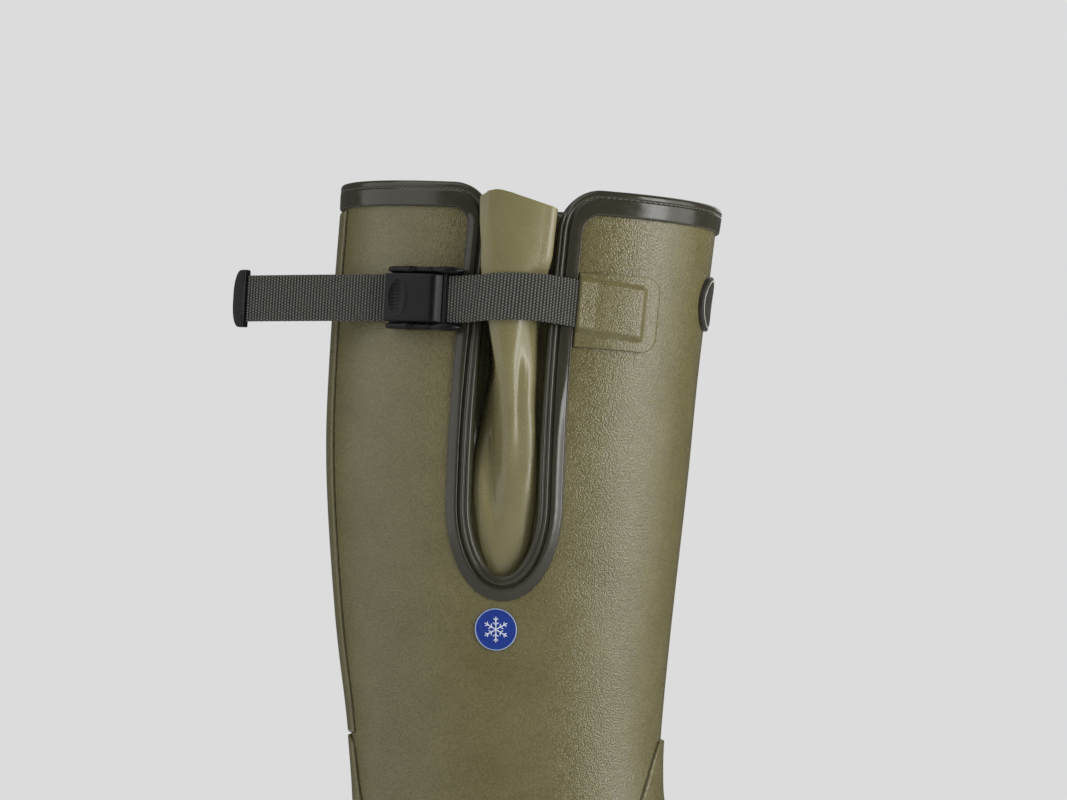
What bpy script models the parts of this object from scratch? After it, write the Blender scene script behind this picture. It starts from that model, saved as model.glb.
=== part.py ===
"""Rubber wellington boot with a neoprene lining, right foot, as separate solids.

The boot stands on its sole: metres, +Z up, +X to the toe and +Y to the inner side of the foot.
The origin lies on the floor under the middle of the heel. Sizes below are in millimetres.
"""
import math

import bmesh
import bpy
import numpy as np

MM = 0.001
GAP = 0.3
MERGE = 1e-6
SHARP_ANGLE = 35.0

# Last and shaft
FOOT_LENGTH = 300.0
BALL_WIDTH = 100.0
HEEL_HEIGHT = 28.0
INSTEP_HEIGHT = 148.0
COLLAR_HEIGHT = 414.0
HEEL_BACK = -34.0
BALL_DROP = 13.0
DROP_FROM = 0.20
DROP_SPAN = 0.42
TOE_SPRING = 9.0
SPRING_FROM = 0.72
SPRING_LIMIT = 1.1
WALL = 5.0
GUSSET_LINE = 0.535

# Sections of the upper, heel to toe, from the feather line up to the collar. Lengths are shares of
# FOOT_LENGTH from the back of the heel, rises run 0 to 1 up to the instep and 1 to 2 up to the collar,
# widths are shares of BALL_WIDTH, and widest is the share of the section's length at its widest point.
SECTION_COLUMNS = ("front", "front_rise", "back", "back_rise", "half_width", "widest",
                   "front_power", "back_power", "arch", "toe_in", "sole_dip")
SECTIONS = np.array((
    (0.993, -0.033, 0.013, 0.000, 0.490, 0.68, 2.50, 2.60, 0.20, 0.070, 1.00),
    (1.002, 0.088, 0.002, 0.117, 0.510, 0.68, 2.50, 2.60, 0.18, 0.070, 1.00),
    (0.960, 0.217, 0.000, 0.217, 0.500, 0.66, 2.50, 2.50, 0.14, 0.065, 0.80),
    (0.877, 0.317, 0.005, 0.300, 0.475, 0.60, 2.50, 2.40, 0.10, 0.055, 0.55),
    (0.767, 0.400, 0.013, 0.383, 0.450, 0.54, 2.45, 2.30, 0.06, 0.045, 0.30),
    (0.653, 0.508, 0.023, 0.475, 0.430, 0.50, 2.40, 2.20, 0.03, 0.035, 0.12),
    (0.560, 0.646, 0.031, 0.592, 0.420, 0.48, 2.30, 2.20, 0.01, 0.025, 0.00),
    (0.497, 0.825, 0.037, 0.742, 0.415, 0.47, 2.20, 2.15, 0.00, 0.015, 0.00),
    (0.473, 1.000, 0.037, 0.933, 0.420, 0.47, 2.15, 2.10, 0.00, 0.006, 0.00),
    (0.469, 1.075, 0.028, 1.060, 0.435, 0.47, 2.10, 2.10, 0.00, 0.000, 0.00),
    (0.473, 1.158, 0.020, 1.165, 0.455, 0.47, 2.10, 2.10, 0.00, 0.000, 0.00),
    (0.487, 1.315, 0.003, 1.330, 0.490, 0.47, 2.10, 2.10, 0.00, 0.000, 0.00),
    (0.510, 1.541, -0.010, 1.567, 0.530, 0.47, 2.10, 2.10, 0.00, 0.000, 0.00),
    (0.527, 1.728, -0.005, 1.762, 0.555, 0.48, 2.10, 2.10, 0.00, 0.000, 0.00),
    (0.555, 1.979, 0.012, 2.021, 0.570, 0.48, 2.10, 2.10, 0.00, 0.000, 0.00),
))
TOP_LEVEL = len(SECTIONS) - 1
WAIST_AT = 0.42
WAIST_SPREAD = 0.13
OUTER_WAIST_SHARE = 0.35
TOE_IN_FROM = 0.55
FINE_LEVELS = 281
FINE_AROUND = 480
NEAR_GUSSET = 60.0
LINE_SAMPLES = 400
UPPER_AROUND = 40
END_CROWDING = 0.4
SHAFT_LEVEL = 9.0
FOOT_LEVELS = np.linspace(0.0, SHAFT_LEVEL, 15)
UPPER_LEVELS = np.concatenate((FOOT_LEVELS, np.linspace(SHAFT_LEVEL, TOP_LEVEL, 8)[1:]))

# Outsole and insole
LUG_DEPTH = 4.5
LUG_ROOT = 1.2
ARCH_CLEARANCE = 12.0
HEEL_BREAST = 39.0
BREAST_RUN = 6.0
ARCH_END = 118.0
ARCH_RUN = 34.0
SPRING_START = 186.0
SPRING_SPAN = 84.0
SPRING_UNDER = 13.0
SOLE_STATIONS = 26
SOLE_SIDE = (
    {"offset": 3.2, "share": 0.00},
    {"offset": 4.8, "share": 0.16},
    {"offset": 4.8, "share": 0.46},
    {"offset": 3.2, "share": 0.50},
    {"offset": 3.2, "share": 0.58},
    {"offset": 4.6, "share": 0.62},
    {"offset": 4.6, "share": 0.88},
    {"offset": 3.4, "share": 1.00},
)
HEEL_BARS = {"first": -21.0, "pitch": 21.0, "count": 3, "length": 14.0}
FORE_BARS = {"first": 112.0, "pitch": 18.5, "count": 8, "length": 10.5}
BAR_SLANT = 7.0
BAR_SPLIT = 3.5
LUG_INSET = 0.5
INSOLE_THICK = 4.0
INSOLE_CLEARANCE = 0.7

# Gusset opening, measured on the outside of the shaft from the gusset line and down from the collar
OPEN_HALF = 16.5
OPEN_STRAIGHT = 132.0
OPEN_ROUND = 33.5
OPEN_CORNER = 16.0
FOOT_TURN = 87.0
CORNER_TURN = 82.0
EDGE_STATIONS = {"foot": 9, "side": 4, "corner": 5}
CUT_OUT = 9.0
CUT_IN = 13.0
CUT_FLARE = 6.0
CUT_ABOVE = 8.0

# Binding profile: reach runs from the cut edge onto the wall, lift runs out from the wall
BINDING_COLUMNS = ("reach", "lift")
BINDING_PROFILE = np.array((
    (8.6, 0.3), (8.4, 1.5), (3.0, 1.7), (2.5, 1.1), (1.5, 2.6), (-0.6, 2.6),
    (-2.2, 0.4), (-2.0, -3.6), (-0.4, -3.6), (-0.4, 0.35),
))
COLLAR_STATIONS = 40
COLLAR_LEAD = 3.0

# Gusset folds from the collar down: half widths of the fold to the back and to the front, and the lift
# of its face and of the two valleys beside it
GUSSET_THICK = 1.8
GUSSET_FLANGE = 6.0
GUSSET_FLANGE_END = 0.985
GUSSET_SEAT = WALL + 0.5 + GUSSET_THICK / 2.0
GUSSET_NECK = 4.0
GUSSET_NECK_LEAST = 0.5
GUSSET_COLUMNS = ("drop", "back_half", "front_half", "face", "back_valley", "front_valley")
GUSSET_FOLDS = np.array((
    (1.5, 15.6, 12.6, 5.6, -8.5, -9.0),
    (20.0, 15.4, 12.4, 6.2, -9.0, -9.5),
    (36.0, 14.4, 11.4, 5.1, -9.5, -10.0),
    (47.0, 12.6, 10.0, 4.3, -10.5, -10.5),
    (60.0, 11.2, 8.4, 4.4, -11.5, -11.0),
    (78.0, 9.4, 7.0, 4.2, -11.5, -10.5),
    (98.0, 8.6, 6.4, 2.8, -10.0, -9.5),
    (118.0, 8.4, 6.8, 0.6, -8.6, -8.4),
    (136.0, 7.6, 7.0, -1.8, -7.4, -7.4),
    (152.0, 5.6, 5.4, -4.2, -6.9, -6.9),
    (164.0, 3.0, 3.0, -6.2, -6.6, -6.6),
    (174.0, 1.0, 1.0, -6.5, -6.5, -6.5),
))
GUSSET_ROWS = 13
GUSSET_ACROSS = 21

# Shares that shape a fold: bend and dip of the flange, place of the valley, heights of its wall and
# shoulder between valley and face, and reach and rise of its crown
FOLD_SHAPE = {"flange_bend": 0.55, "flange_dip": 0.3, "valley_at": 0.25, "wall_low": 0.45,
              "wall_high": 0.7, "shoulder": 0.9, "crown": 0.62, "crown_rise": 1.04}

# Overlays on the foot, as side views of their edges: forward of the origin and up from the floor
OVERLAY_THICK = 1.3
OVERLAY_TOP_LEVEL = 10.7
OVERLAY_REACH = 90.0
OVERLAY_STRETCH = 6.0
GUARD_EDGE = ((290.0, 188.0), (113.0, 188.0), (109.5, 186.0), (107.0, 181.0), (104.5, 172.0),
              (101.5, 160.0), (97.5, 147.0), (89.0, 122.0), (81.0, 90.0), (75.0, 55.0))
GUARD_FOOT = (73.0, 290.0)
COUNTER_EDGE = ((-60.0, 184.0), (-26.5, 183.5), (-23.5, 178.0), (-21.0, 162.0), (-17.5, 148.0),
                (-6.0, 122.0), (12.0, 88.0), (28.0, 52.0))
COUNTER_FOOT = (34.0, -60.0)
OVERLAY_FOOT_STEPS = 16
STRIP_HALF = 22.5
STRIP_THICK = 1.1
STRIP_TOP = 9.2
STRIP_CLEARANCE = 0.4
STRIP_ROWS = 9
STRIP_COLUMNS = 9

# Strap, its patch and its buckle; the buckle's own axes are back, up and out from its seat
STRAP_WIDTH = 20.0
STRAP_THICK = 1.4
STRAP_COLUMNS = ("along", "drop", "lift")
STRAP_POINTS = np.array((
    (52.0, 48.8, 1.05), (46.0, 48.4, 1.05), (40.0, 47.9, 1.05), (34.0, 47.4, 1.15), (29.0, 46.9, 1.9),
    (24.0, 46.4, 3.0), (17.0, 45.8, 5.3), (10.0, 45.4, 7.0), (2.0, 45.4, 7.6), (-6.0, 45.8, 7.6),
    (-13.0, 46.6, 6.9), (-18.0, 47.2, 5.9),
))
STRAP_ROUTE = dict(zip(STRAP_COLUMNS, STRAP_POINTS.T))
BUCKLE_DROP = 47.8
BUCKLE_FRONT = {"along": -21.8, "lift": 2.5}
BUCKLE_REAR = {"along": -57.8, "lift": 1.9}
BUCKLE_WIDTH = 27.5
BUCKLE_RAIL = 3.2
BUCKLE_BASE = 1.3
STRAP_SEAT = 2.35
FRAME_STATIONS = (
    {"back": -18.0, "rail": 2.4}, {"back": -17.0, "rail": 4.8}, {"back": -14.5, "rail": 6.4},
    {"back": -9.0, "rail": 6.8}, {"back": 10.0, "rail": 6.8}, {"back": 15.0, "rail": 5.8},
    {"back": 17.0, "rail": 4.2},
)
LEVER_HALF = 10.2
LEVER_CHAMFER = {"up": 1.0, "out": 0.5}
LEVER_STATIONS = (
    {"back": -9.2, "low": 3.4, "high": 4.7}, {"back": -8.4, "low": 3.4, "high": 6.3},
    {"back": -6.4, "low": 3.5, "high": 7.5}, {"back": -3.0, "low": 4.1, "high": 8.0},
    {"back": 4.0, "low": 4.9, "high": 7.8}, {"back": 11.0, "low": 4.7, "high": 7.1},
    {"back": 16.0, "low": 4.3, "high": 6.3}, {"back": 17.2, "low": 4.2, "high": 5.3},
)
TAIL_END = 87.0
TAIL_STATIONS = 9
TAIL_BOW = 3.0
TAIL_DROOP = 1.8
TIP_STATIONS = (
    {"back": 0.3, "half": 12.2, "thick": 3.0}, {"back": 0.9, "half": 12.4, "thick": 4.2},
    {"back": 4.4, "half": 12.4, "thick": 4.0}, {"back": 6.2, "half": 11.0, "thick": 3.0},
    {"back": 7.0, "half": 9.0, "thick": 2.0},
)
TIP_CORNER = {"along": 0.94, "deep": 0.7}
PATCH_BACK = 25.5
PATCH_FRONT = 63.0
PATCH_TOP = 33.0
PATCH_FOOT = 65.2
PATCH_CORNER = 7.0
PATCH_CORNER_TURNS = (0.0, 25.0, 50.0)
PATCH_COLUMNS = {"over_strap": 7, "ahead": 3}
PATCH_THICK = 1.2
PATCH_RISE_SIDE = 0.7
PATCH_RISE_END = 52.8
PATCH_RISE_RUN = 1.6

# Badge on the shin and label under the gusset
BADGE_RADIUS = 12.0
BADGE_THICK = 2.0
BADGE_DROP = 40.0
BADGE_SHIFT = -2.5
LABEL_RADIUS = 9.0
LABEL_THICK = 0.7
LABEL_ALONG = -2.5
LABEL_DROP = 186.0
DISC_SIDES = 18
DISC_RINGS = (0.0, 0.5, 0.92, 1.0)
DISC_ROUNDING = 0.35


def smooth_step(share):
    """Ease from 0 to 1 with level ends."""
    share = np.clip(share, 0.0, 1.0)
    return share * share * (3.0 - 2.0 * share)


def height(rise):
    """Height of a rise: the foot up to 1, the shaft above it."""
    foot = HEEL_HEIGHT + rise * (INSTEP_HEIGHT - HEEL_HEIGHT)
    shaft = INSTEP_HEIGHT + (rise - 1.0) * (COLLAR_HEIGHT - INSTEP_HEIGHT)
    return np.where(rise <= 1.0, foot, shaft)


def sole_line(x):
    """Height of the upper's lower edge: level heel, drop to the ball, spring at the toe."""
    share = (x - HEEL_BACK) / FOOT_LENGTH
    drop = BALL_DROP * smooth_step((share - DROP_FROM) / DROP_SPAN)
    spring = TOE_SPRING * np.clip((share - SPRING_FROM) / (1.0 - SPRING_FROM), 0.0, SPRING_LIMIT) ** 2
    return HEEL_HEIGHT - drop + spring


def blend_rows(table, at):
    """Smooth curve through the rows of a table, read at fractional row numbers."""
    table = np.vstack((2.0 * table[0] - table[1], table, 2.0 * table[-1] - table[-2]))
    at = np.atleast_1d(np.asarray(at, dtype=float))
    first = np.clip(np.floor(at).astype(int), 0, len(table) - 4)
    t = (at - first)[:, None]
    before, start, end, after = (table[first + step] for step in range(4))
    bend = 2.0 * before - 5.0 * start + 4.0 * end - after
    twist = 3.0 * (start - end) + after - before
    return start + 0.5 * t * (end - before + t * (bend + t * twist))


def outline(level, share, side):
    """Points of the sections at the given levels: share runs from back to front, side is -1 outside."""
    row = dict(zip(SECTION_COLUMNS, blend_rows(SECTIONS, level).T[..., None]))
    ahead = np.clip((share - row["widest"]) / (1.0 - row["widest"]), 0.0, 1.0)
    behind = np.clip((row["widest"] - share) / row["widest"], 0.0, 1.0)
    front_breadth = (1.0 - ahead ** row["front_power"]) ** (1.0 / row["front_power"])
    back_breadth = (1.0 - behind ** row["back_power"]) ** (1.0 / row["back_power"])
    breadth = np.where(share >= row["widest"], front_breadth, back_breadth)
    waist = np.exp(-((share - WAIST_AT) / WAIST_SPREAD) ** 2)
    waist = waist * row["arch"] * np.where(side > 0, 1.0, OUTER_WAIST_SHARE)
    lean = row["toe_in"] * np.clip((share - TOE_IN_FROM) / (1.0 - TOE_IN_FROM), 0.0, 1.0) ** 2
    x = HEEL_BACK + FOOT_LENGTH * (row["back"] + share * (row["front"] - row["back"]))
    y = BALL_WIDTH * (side * row["half_width"] * breadth * (1.0 - waist) + lean)
    low, high = height(row["back_rise"]), height(row["front_rise"])
    feather = dict(zip(SECTION_COLUMNS, SECTIONS[0]))
    run = (x - HEEL_BACK) / FOOT_LENGTH - feather["back"]
    straight_share = run / (feather["front"] - feather["back"])
    straight = HEEL_HEIGHT + straight_share * (height(feather["front_rise"]) - HEEL_HEIGHT)
    z = low + share * (high - low) + row["sole_dip"] * (sole_line(x) - straight)
    return np.stack((x, y, z), axis=-1)


def fine_form():
    """Outer form on a fine grid of levels and equal steps around, from the gusset line to the toe."""
    levels = np.linspace(0.0, TOP_LEVEL, FINE_LEVELS)
    turn = np.linspace(0.0, 2.0 * math.pi, 4 * FINE_AROUND + 1) + math.asin(2.0 * GUSSET_LINE - 1.0)
    share = 0.5 + 0.5 * np.sin(turn)
    side = np.where(np.cos(turn) >= 0.0, -1.0, 1.0)
    loops = outline(levels, share, side)
    steps = np.linalg.norm(np.diff(loops, axis=1), axis=2)
    lengths = np.concatenate((np.zeros((FINE_LEVELS, 1)), np.cumsum(steps, axis=1)), axis=1)
    even = np.linspace(0.0, 1.0, FINE_AROUND + 1)
    form = np.empty((FINE_LEVELS, FINE_AROUND + 1, 3))
    for level, (loop, length) in enumerate(zip(loops, lengths)):
        for axis in range(3):
            form[level, :, axis] = np.interp(even * length[-1], length, loop[:, axis])
    around = np.roll(form[:, :-1], -1, axis=1) - np.roll(form[:, :-1], 1, axis=1)
    normal = np.cross(around, np.gradient(form[:, :-1], axis=0))
    normal /= np.linalg.norm(normal, axis=2, keepdims=True)
    normal = np.concatenate((normal, normal[:, :1]), axis=1)
    return form, normal, lengths[:, -1]


FORM, FORM_NORMAL, PERIMETER = fine_form()
COLLAR_LENGTH = PERIMETER[-1]
GUSSET_DROP = FORM[-1, 0, 2] - FORM[:, 0, 2]


def read_grid(grid, level, around):
    """Bilinear reading of a fine grid at levels and shares around."""
    row = np.clip(level / TOP_LEVEL, 0.0, 1.0) * (FINE_LEVELS - 1)
    column = np.mod(around, 1.0) * FINE_AROUND
    low = np.clip(np.floor(row).astype(int), 0, FINE_LEVELS - 2)
    left = np.clip(np.floor(column).astype(int), 0, FINE_AROUND - 1)
    up = (row - low)[..., None]
    on = (column - left)[..., None]
    lower = grid[low, left] * (1.0 - on) + grid[low, left + 1] * on
    upper = grid[low + 1, left] * (1.0 - on) + grid[low + 1, left + 1] * on
    return lower * (1.0 - up) + upper * up


def on_form(level, around, lift):
    """Points of the outer form, moved out by lift."""
    level, around, lift = np.broadcast_arrays(level, around, lift)
    return read_grid(FORM, level, around) + lift[..., None] * read_grid(FORM_NORMAL, level, around)


def level_at(drop):
    """Level of a drop below the collar, measured on the gusset line."""
    return np.interp(drop, GUSSET_DROP[::-1], np.linspace(TOP_LEVEL, 0.0, FINE_LEVELS))


def skin(along, drop, lift):
    """Points of the shaft: along from the gusset line to the front, drop from the collar, lift out."""
    along, drop, lift = np.broadcast_arrays(*(np.asarray(v, dtype=float) for v in (along, drop, lift)))
    level = level_at(drop)
    length = np.interp(level, np.linspace(0.0, TOP_LEVEL, FINE_LEVELS), PERIMETER)
    far = smooth_step((np.abs(along) - NEAR_GUSSET) / NEAR_GUSSET)
    points = on_form(level, along / (length + far * (COLLAR_LENGTH - length)), lift)
    points[..., 2] += np.maximum(-drop, 0.0)
    return points


def finish(name, colour, roughness, metallic=0.0):
    """Principled material from an sRGB hex colour."""
    material = bpy.data.materials.new(name)
    material.use_nodes = True
    channels = [int(colour[i:i + 2], 16) / 255.0 for i in (1, 3, 5)]
    linear = [c / 12.92 if c <= 0.04045 else ((c + 0.055) / 1.055) ** 2.4 for c in channels]
    shader = material.node_tree.nodes["Principled BSDF"]
    shader.inputs["Base Color"].default_value = (*linear, 1.0)
    shader.inputs["Roughness"].default_value = roughness
    shader.inputs["Metallic"].default_value = metallic
    material.diffuse_color = (*linear, 1.0)
    return material


def add_solid(name, points, faces, material):
    """Object of one or more closed bodies from points in millimetres."""
    mesh = bpy.data.meshes.new(name)
    mesh.from_pydata((np.asarray(points) * MM).tolist(), [], faces)
    work = bmesh.new()
    work.from_mesh(mesh)
    bmesh.ops.remove_doubles(work, verts=work.verts, dist=MERGE)
    bmesh.ops.recalc_face_normals(work, faces=work.faces)
    work.to_mesh(mesh)
    work.free()
    solid = bpy.data.objects.new(name, mesh)
    bpy.context.scene.collection.objects.link(solid)
    if material:
        mesh.materials.append(material)
    mesh.shade_smooth()
    mesh.set_sharp_from_angle(angle=math.radians(SHARP_ANGLE))
    return solid


def add_cutter(name, points, faces):
    """Helper solid for a Boolean, left out of the object."""
    cutter = add_solid(name, points, faces, None)
    cutter.hide_render = True
    cutter.display_type = "WIRE"
    return cutter


def combine(solid, other, operation):
    """Boolean of a solid with a helper."""
    step = solid.modifiers.new(other.name, "BOOLEAN")
    step.operation = operation
    step.solver = "EXACT"
    step.object = other


def grid_faces(rows, columns, closed, first=0):
    """Quads of a grid of points, row by row."""
    faces = []
    for row in range(rows - 1):
        for column in range(columns if closed else columns - 1):
            right = (column + 1) % columns
            here = first + row * columns
            faces.append((here + column, here + right, here + columns + right, here + columns + column))
    return faces


def shell(outer, inner, closed, rim_rows=(0, -1)):
    """Closed body between two grids: rims join their first and last rows, and the sides if open."""
    rows, columns = outer.shape[:2]
    count = rows * columns
    faces = grid_faces(rows, columns, closed) + grid_faces(rows, columns, closed, count)
    for rim in rim_rows:
        start = (rim % rows) * columns
        for column in range(columns if closed else columns - 1):
            left, right = start + column, start + (column + 1) % columns
            faces.append((left, right, right + count, left + count))
    if not closed:
        for edge in (0, columns - 1):
            for row in range(rows - 1):
                low, high = row * columns + edge, (row + 1) * columns + edge
                faces.append((low, high, high + count, low + count))
    return np.vstack((outer.reshape(-1, 3), inner.reshape(-1, 3))), faces


def sweep(rings, closed):
    """Body through a row of rings of points, joined end to end or capped."""
    count, sides = rings.shape[:2]
    faces = grid_faces(count, sides, True)
    last = (count - 1) * sides
    if closed:
        faces += [(last + k, last + (k + 1) % sides, (k + 1) % sides, k) for k in range(sides)]
    else:
        faces += [tuple(range(sides)), tuple(range(last, last + sides))]
    return rings.reshape(-1, 3), faces


def columns_around():
    """Shares around the form for its columns, closer together at the heel and the toe."""
    even = np.arange(UPPER_AROUND) / UPPER_AROUND
    return even + END_CROWDING * np.sin(4.0 * math.pi * even) / (4.0 * math.pi)


def form_body(lift, levels, stretch):
    """Filled form at a lift from the upper, stretched down past the feather line and up past its top."""
    around = columns_around()
    rings = on_form(levels[:, None], around[None, :], lift)
    rings[0, :, 2] = sole_line(rings[0, :, 0])
    rings = np.concatenate((rings[:1], rings, rings[-1:]))
    rings[0, :, 2] -= stretch
    rings[-1, :, 2] += stretch
    return sweep(rings, False)


def add_upper(material):
    """Hollow shell of foot and shaft, open at the collar, underneath and at the gusset."""
    around = columns_around()
    outer = on_form(UPPER_LEVELS[:, None], around[None, :], 0.0)
    inner = on_form(UPPER_LEVELS[:, None], around[None, :], -WALL)
    inner[0, :, 2] = outer[0, :, 2]
    inner[-1, :, 2] = outer[-1, :, 2]
    upper = add_solid("upper", *shell(outer, inner, True), material)
    along, drop = opening_edge()
    along = np.append(along, along[-1] + CUT_FLARE)
    drop = np.append(drop, -CUT_ABOVE)
    sides = np.stack((-along, along), axis=1)
    outside = skin(sides, drop[:, None], CUT_OUT)
    inside = skin(sides, drop[:, None], -CUT_IN)
    combine(upper, add_cutter("gusset_opening", *shell(outside, inside, False)), "DIFFERENCE")
    return upper


def opening_edge():
    """Front half of the gusset opening from the foot of the U to the end of its top corner."""
    foot = np.radians(np.linspace(FOOT_TURN, 0.0, EDGE_STATIONS["foot"]))
    turn = np.radians(np.linspace(0.0, CORNER_TURN, EDGE_STATIONS["corner"]))
    side = np.linspace(OPEN_STRAIGHT, OPEN_CORNER, EDGE_STATIONS["side"] + 2)[1:-1]
    along = np.concatenate((OPEN_HALF * np.cos(foot), np.full(len(side), OPEN_HALF),
                            OPEN_HALF + OPEN_CORNER * (1.0 - np.cos(turn))))
    drop = np.concatenate((OPEN_STRAIGHT + OPEN_ROUND * np.sin(foot), side,
                           OPEN_CORNER * (1.0 - np.sin(turn))))
    return along, drop


def add_binding(material):
    """Edging swept along the closed edge of collar and gusset opening."""
    along, drop = opening_edge()
    collar_start = OPEN_HALF + OPEN_CORNER + COLLAR_LEAD
    collar = np.linspace(collar_start, COLLAR_LENGTH - collar_start, COLLAR_STATIONS)
    path = np.stack((np.concatenate((along, collar, COLLAR_LENGTH - along[::-1])),
                     np.concatenate((drop, np.zeros(COLLAR_STATIONS), drop[::-1]))), axis=1)
    turn = np.array((COLLAR_LENGTH, 0.0))
    padded = np.vstack((path[-1] - turn, path, path[0] + turn))
    heading = padded[2:] - padded[:-2]
    heading /= np.linalg.norm(heading, axis=1, keepdims=True)
    across = np.stack((-heading[:, 1], heading[:, 0]), axis=1)
    profile = dict(zip(BINDING_COLUMNS, BINDING_PROFILE.T))
    spots = path[:, None, :] + profile["reach"][None, :, None] * across[:, None, :]
    signed = np.where(path[:, :1] > COLLAR_LENGTH / 2.0, spots[..., 0] - COLLAR_LENGTH, spots[..., 0])
    rings = skin(signed, spots[..., 1], profile["lift"][None, :])
    return add_solid("binding", *sweep(rings, True), material)


def gusset_section(fold, edge, flange):
    """Cross-section of the gusset at one drop: flange, valley, fold, valley, flange."""
    shape = FOLD_SHAPE
    points = []
    for sign, half, valley in ((-1.0, fold["back_half"], fold["back_valley"]),
                               (1.0, fold["front_half"], fold["front_valley"])):
        neck = max(min(half, edge - GUSSET_NECK), GUSSET_NECK_LEAST)
        valley = min(valley, -GUSSET_SEAT)
        face = max(fold["face"], -GUSSET_SEAT)
        bottom = neck + shape["valley_at"] * max(edge - neck, 0.0)
        inward = max(edge, bottom)
        side = [
            (flange, -GUSSET_SEAT),
            (inward + shape["flange_bend"] * (flange - inward),
             shape["flange_dip"] * (valley + GUSSET_SEAT) - GUSSET_SEAT),
            (bottom, valley),
            (neck, valley + shape["wall_low"] * (face - valley)),
            (neck, valley + shape["wall_high"] * (face - valley)),
            (half, valley + shape["shoulder"] * (face - valley)),
            (half * shape["crown"], face),
        ]
        side = [(sign * reach, lift) for reach, lift in side]
        points += side if sign < 0 else [(0.0, face * shape["crown_rise"])] + side[::-1]
    return np.array(points)


def gusset_sheet(rows, across):
    """Middle surface of the gusset on a grid of rows down and points across."""
    at = np.linspace(0.0, len(GUSSET_FOLDS) - 1.0, rows)
    sections = []
    drops = []
    for values in blend_rows(GUSSET_FOLDS, at):
        fold = dict(zip(GUSSET_COLUMNS, values))
        below = fold["drop"] - OPEN_STRAIGHT
        past = np.clip(below / OPEN_ROUND, 0.0, 1.0)
        wide = np.clip(below / (OPEN_ROUND + GUSSET_FLANGE), 0.0, GUSSET_FLANGE_END)
        edge = OPEN_HALF * math.sqrt(1.0 - past ** 2)
        flange = (OPEN_HALF + GUSSET_FLANGE) * math.sqrt(1.0 - wide ** 2)
        control = gusset_section(fold, edge, flange)
        sections.append(blend_rows(control, np.linspace(0.0, len(control) - 1.0, across)))
        drops.append(fold["drop"])
    sections = np.array(sections)
    return skin(sections[..., 0], np.array(drops)[:, None], sections[..., 1])


def thicken(sheet, thick):
    """The two faces of a sheet of points, half the thickness to each side."""
    normal = np.cross(np.gradient(sheet, axis=1), np.gradient(sheet, axis=0))
    normal /= np.linalg.norm(normal, axis=2, keepdims=True)
    return sheet + 0.5 * thick * normal, sheet - 0.5 * thick * normal


def add_gusset(material):
    """Pleated bellows behind the opening, its flange lapped inside the wall."""
    faces = thicken(gusset_sheet(GUSSET_ROWS, GUSSET_ACROSS), GUSSET_THICK)
    return add_solid("gusset", *shell(*faces, False), material)


def add_overlay(name, edge, foot, material):
    """Overlay on the foot between two larger forms, trimmed to its edge and to the feather line."""
    levels = UPPER_LEVELS[UPPER_LEVELS < OVERLAY_TOP_LEVEL]
    overlay = add_solid(name, *form_body(GAP + OVERLAY_THICK, levels, OVERLAY_STRETCH), material)
    inside = add_cutter(name + "_inside", *form_body(GAP, levels, 2.0 * OVERLAY_STRETCH))
    foot_x = np.linspace(*foot, OVERLAY_FOOT_STEPS)
    profile = np.vstack((edge, np.column_stack((foot_x, sole_line(foot_x)))))
    rings = np.array([[(x, y, z) for x, z in profile] for y in (-OVERLAY_REACH, OVERLAY_REACH)])
    combine(overlay, inside, "DIFFERENCE")
    combine(overlay, add_cutter(name + "_trim", *sweep(rings, False)), "INTERSECT")
    return overlay


def add_back_strip(material):
    """Cover strip over the back seam from the binding down to the heel counter."""
    back = back_line(STRIP_TOP)
    heights = skin(back, GUSSET_DROP, 0.0)[:, 2]
    foot = np.interp(COUNTER_EDGE[0][1] + STRIP_CLEARANCE, heights, GUSSET_DROP)
    drop = np.linspace(STRIP_TOP, foot, STRIP_ROWS)[:, None]
    along = back + np.linspace(-STRIP_HALF, STRIP_HALF, STRIP_COLUMNS)[None, :]
    outer = skin(along, drop, GAP + STRIP_THICK)
    return add_solid("back_strip", *shell(outer, skin(along, drop, GAP), False), material)


def front_line(drop):
    """Way along the collar to the foremost point at a drop."""
    along = np.linspace(0.0, COLLAR_LENGTH / 2.0, LINE_SAMPLES)
    return along[np.argmax(skin(along, drop, 0.0)[:, 0])]


def back_line(drop):
    """Way along the collar to the rearmost point at a drop."""
    along = np.linspace(-COLLAR_LENGTH / 2.0, 0.0, LINE_SAMPLES)
    return along[np.argmin(skin(along, drop, 0.0)[:, 0])]


def sole_ring(offset):
    """Plan of the sole at an offset from the feather line: heel, outer side, toe, inner side."""
    turn = np.linspace(0.0, math.pi, SOLE_STATIONS + 2)
    share = 0.5 - 0.5 * np.cos(turn)
    outer = outline(0.0, share, np.full(share.shape, -1.0))[0, :, :2]
    inner = outline(0.0, share, np.full(share.shape, 1.0))[0, :, :2]
    ring = np.vstack((outer, inner[-2:0:-1]))
    heading = np.roll(ring, -1, axis=0) - np.roll(ring, 1, axis=0)
    heading /= np.linalg.norm(heading, axis=1, keepdims=True)
    return ring + offset * np.stack((heading[:, 1], -heading[:, 0]), axis=1)


def floor_line(x):
    """Height of the lugs' faces: flat heel and forefoot, spring under the toe."""
    return SPRING_UNDER * np.clip((x - SPRING_START) / SPRING_SPAN, 0.0, SPRING_LIMIT) ** 2


def base_line(x):
    """Height of the sole's underside between the lugs, raised at the arch."""
    up = smooth_step((x - HEEL_BREAST) / BREAST_RUN)
    down = smooth_step((x - ARCH_END + ARCH_RUN) / ARCH_RUN)
    return floor_line(x) + LUG_DEPTH + (ARCH_CLEARANCE - LUG_DEPTH) * up * (1.0 - down)


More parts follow.
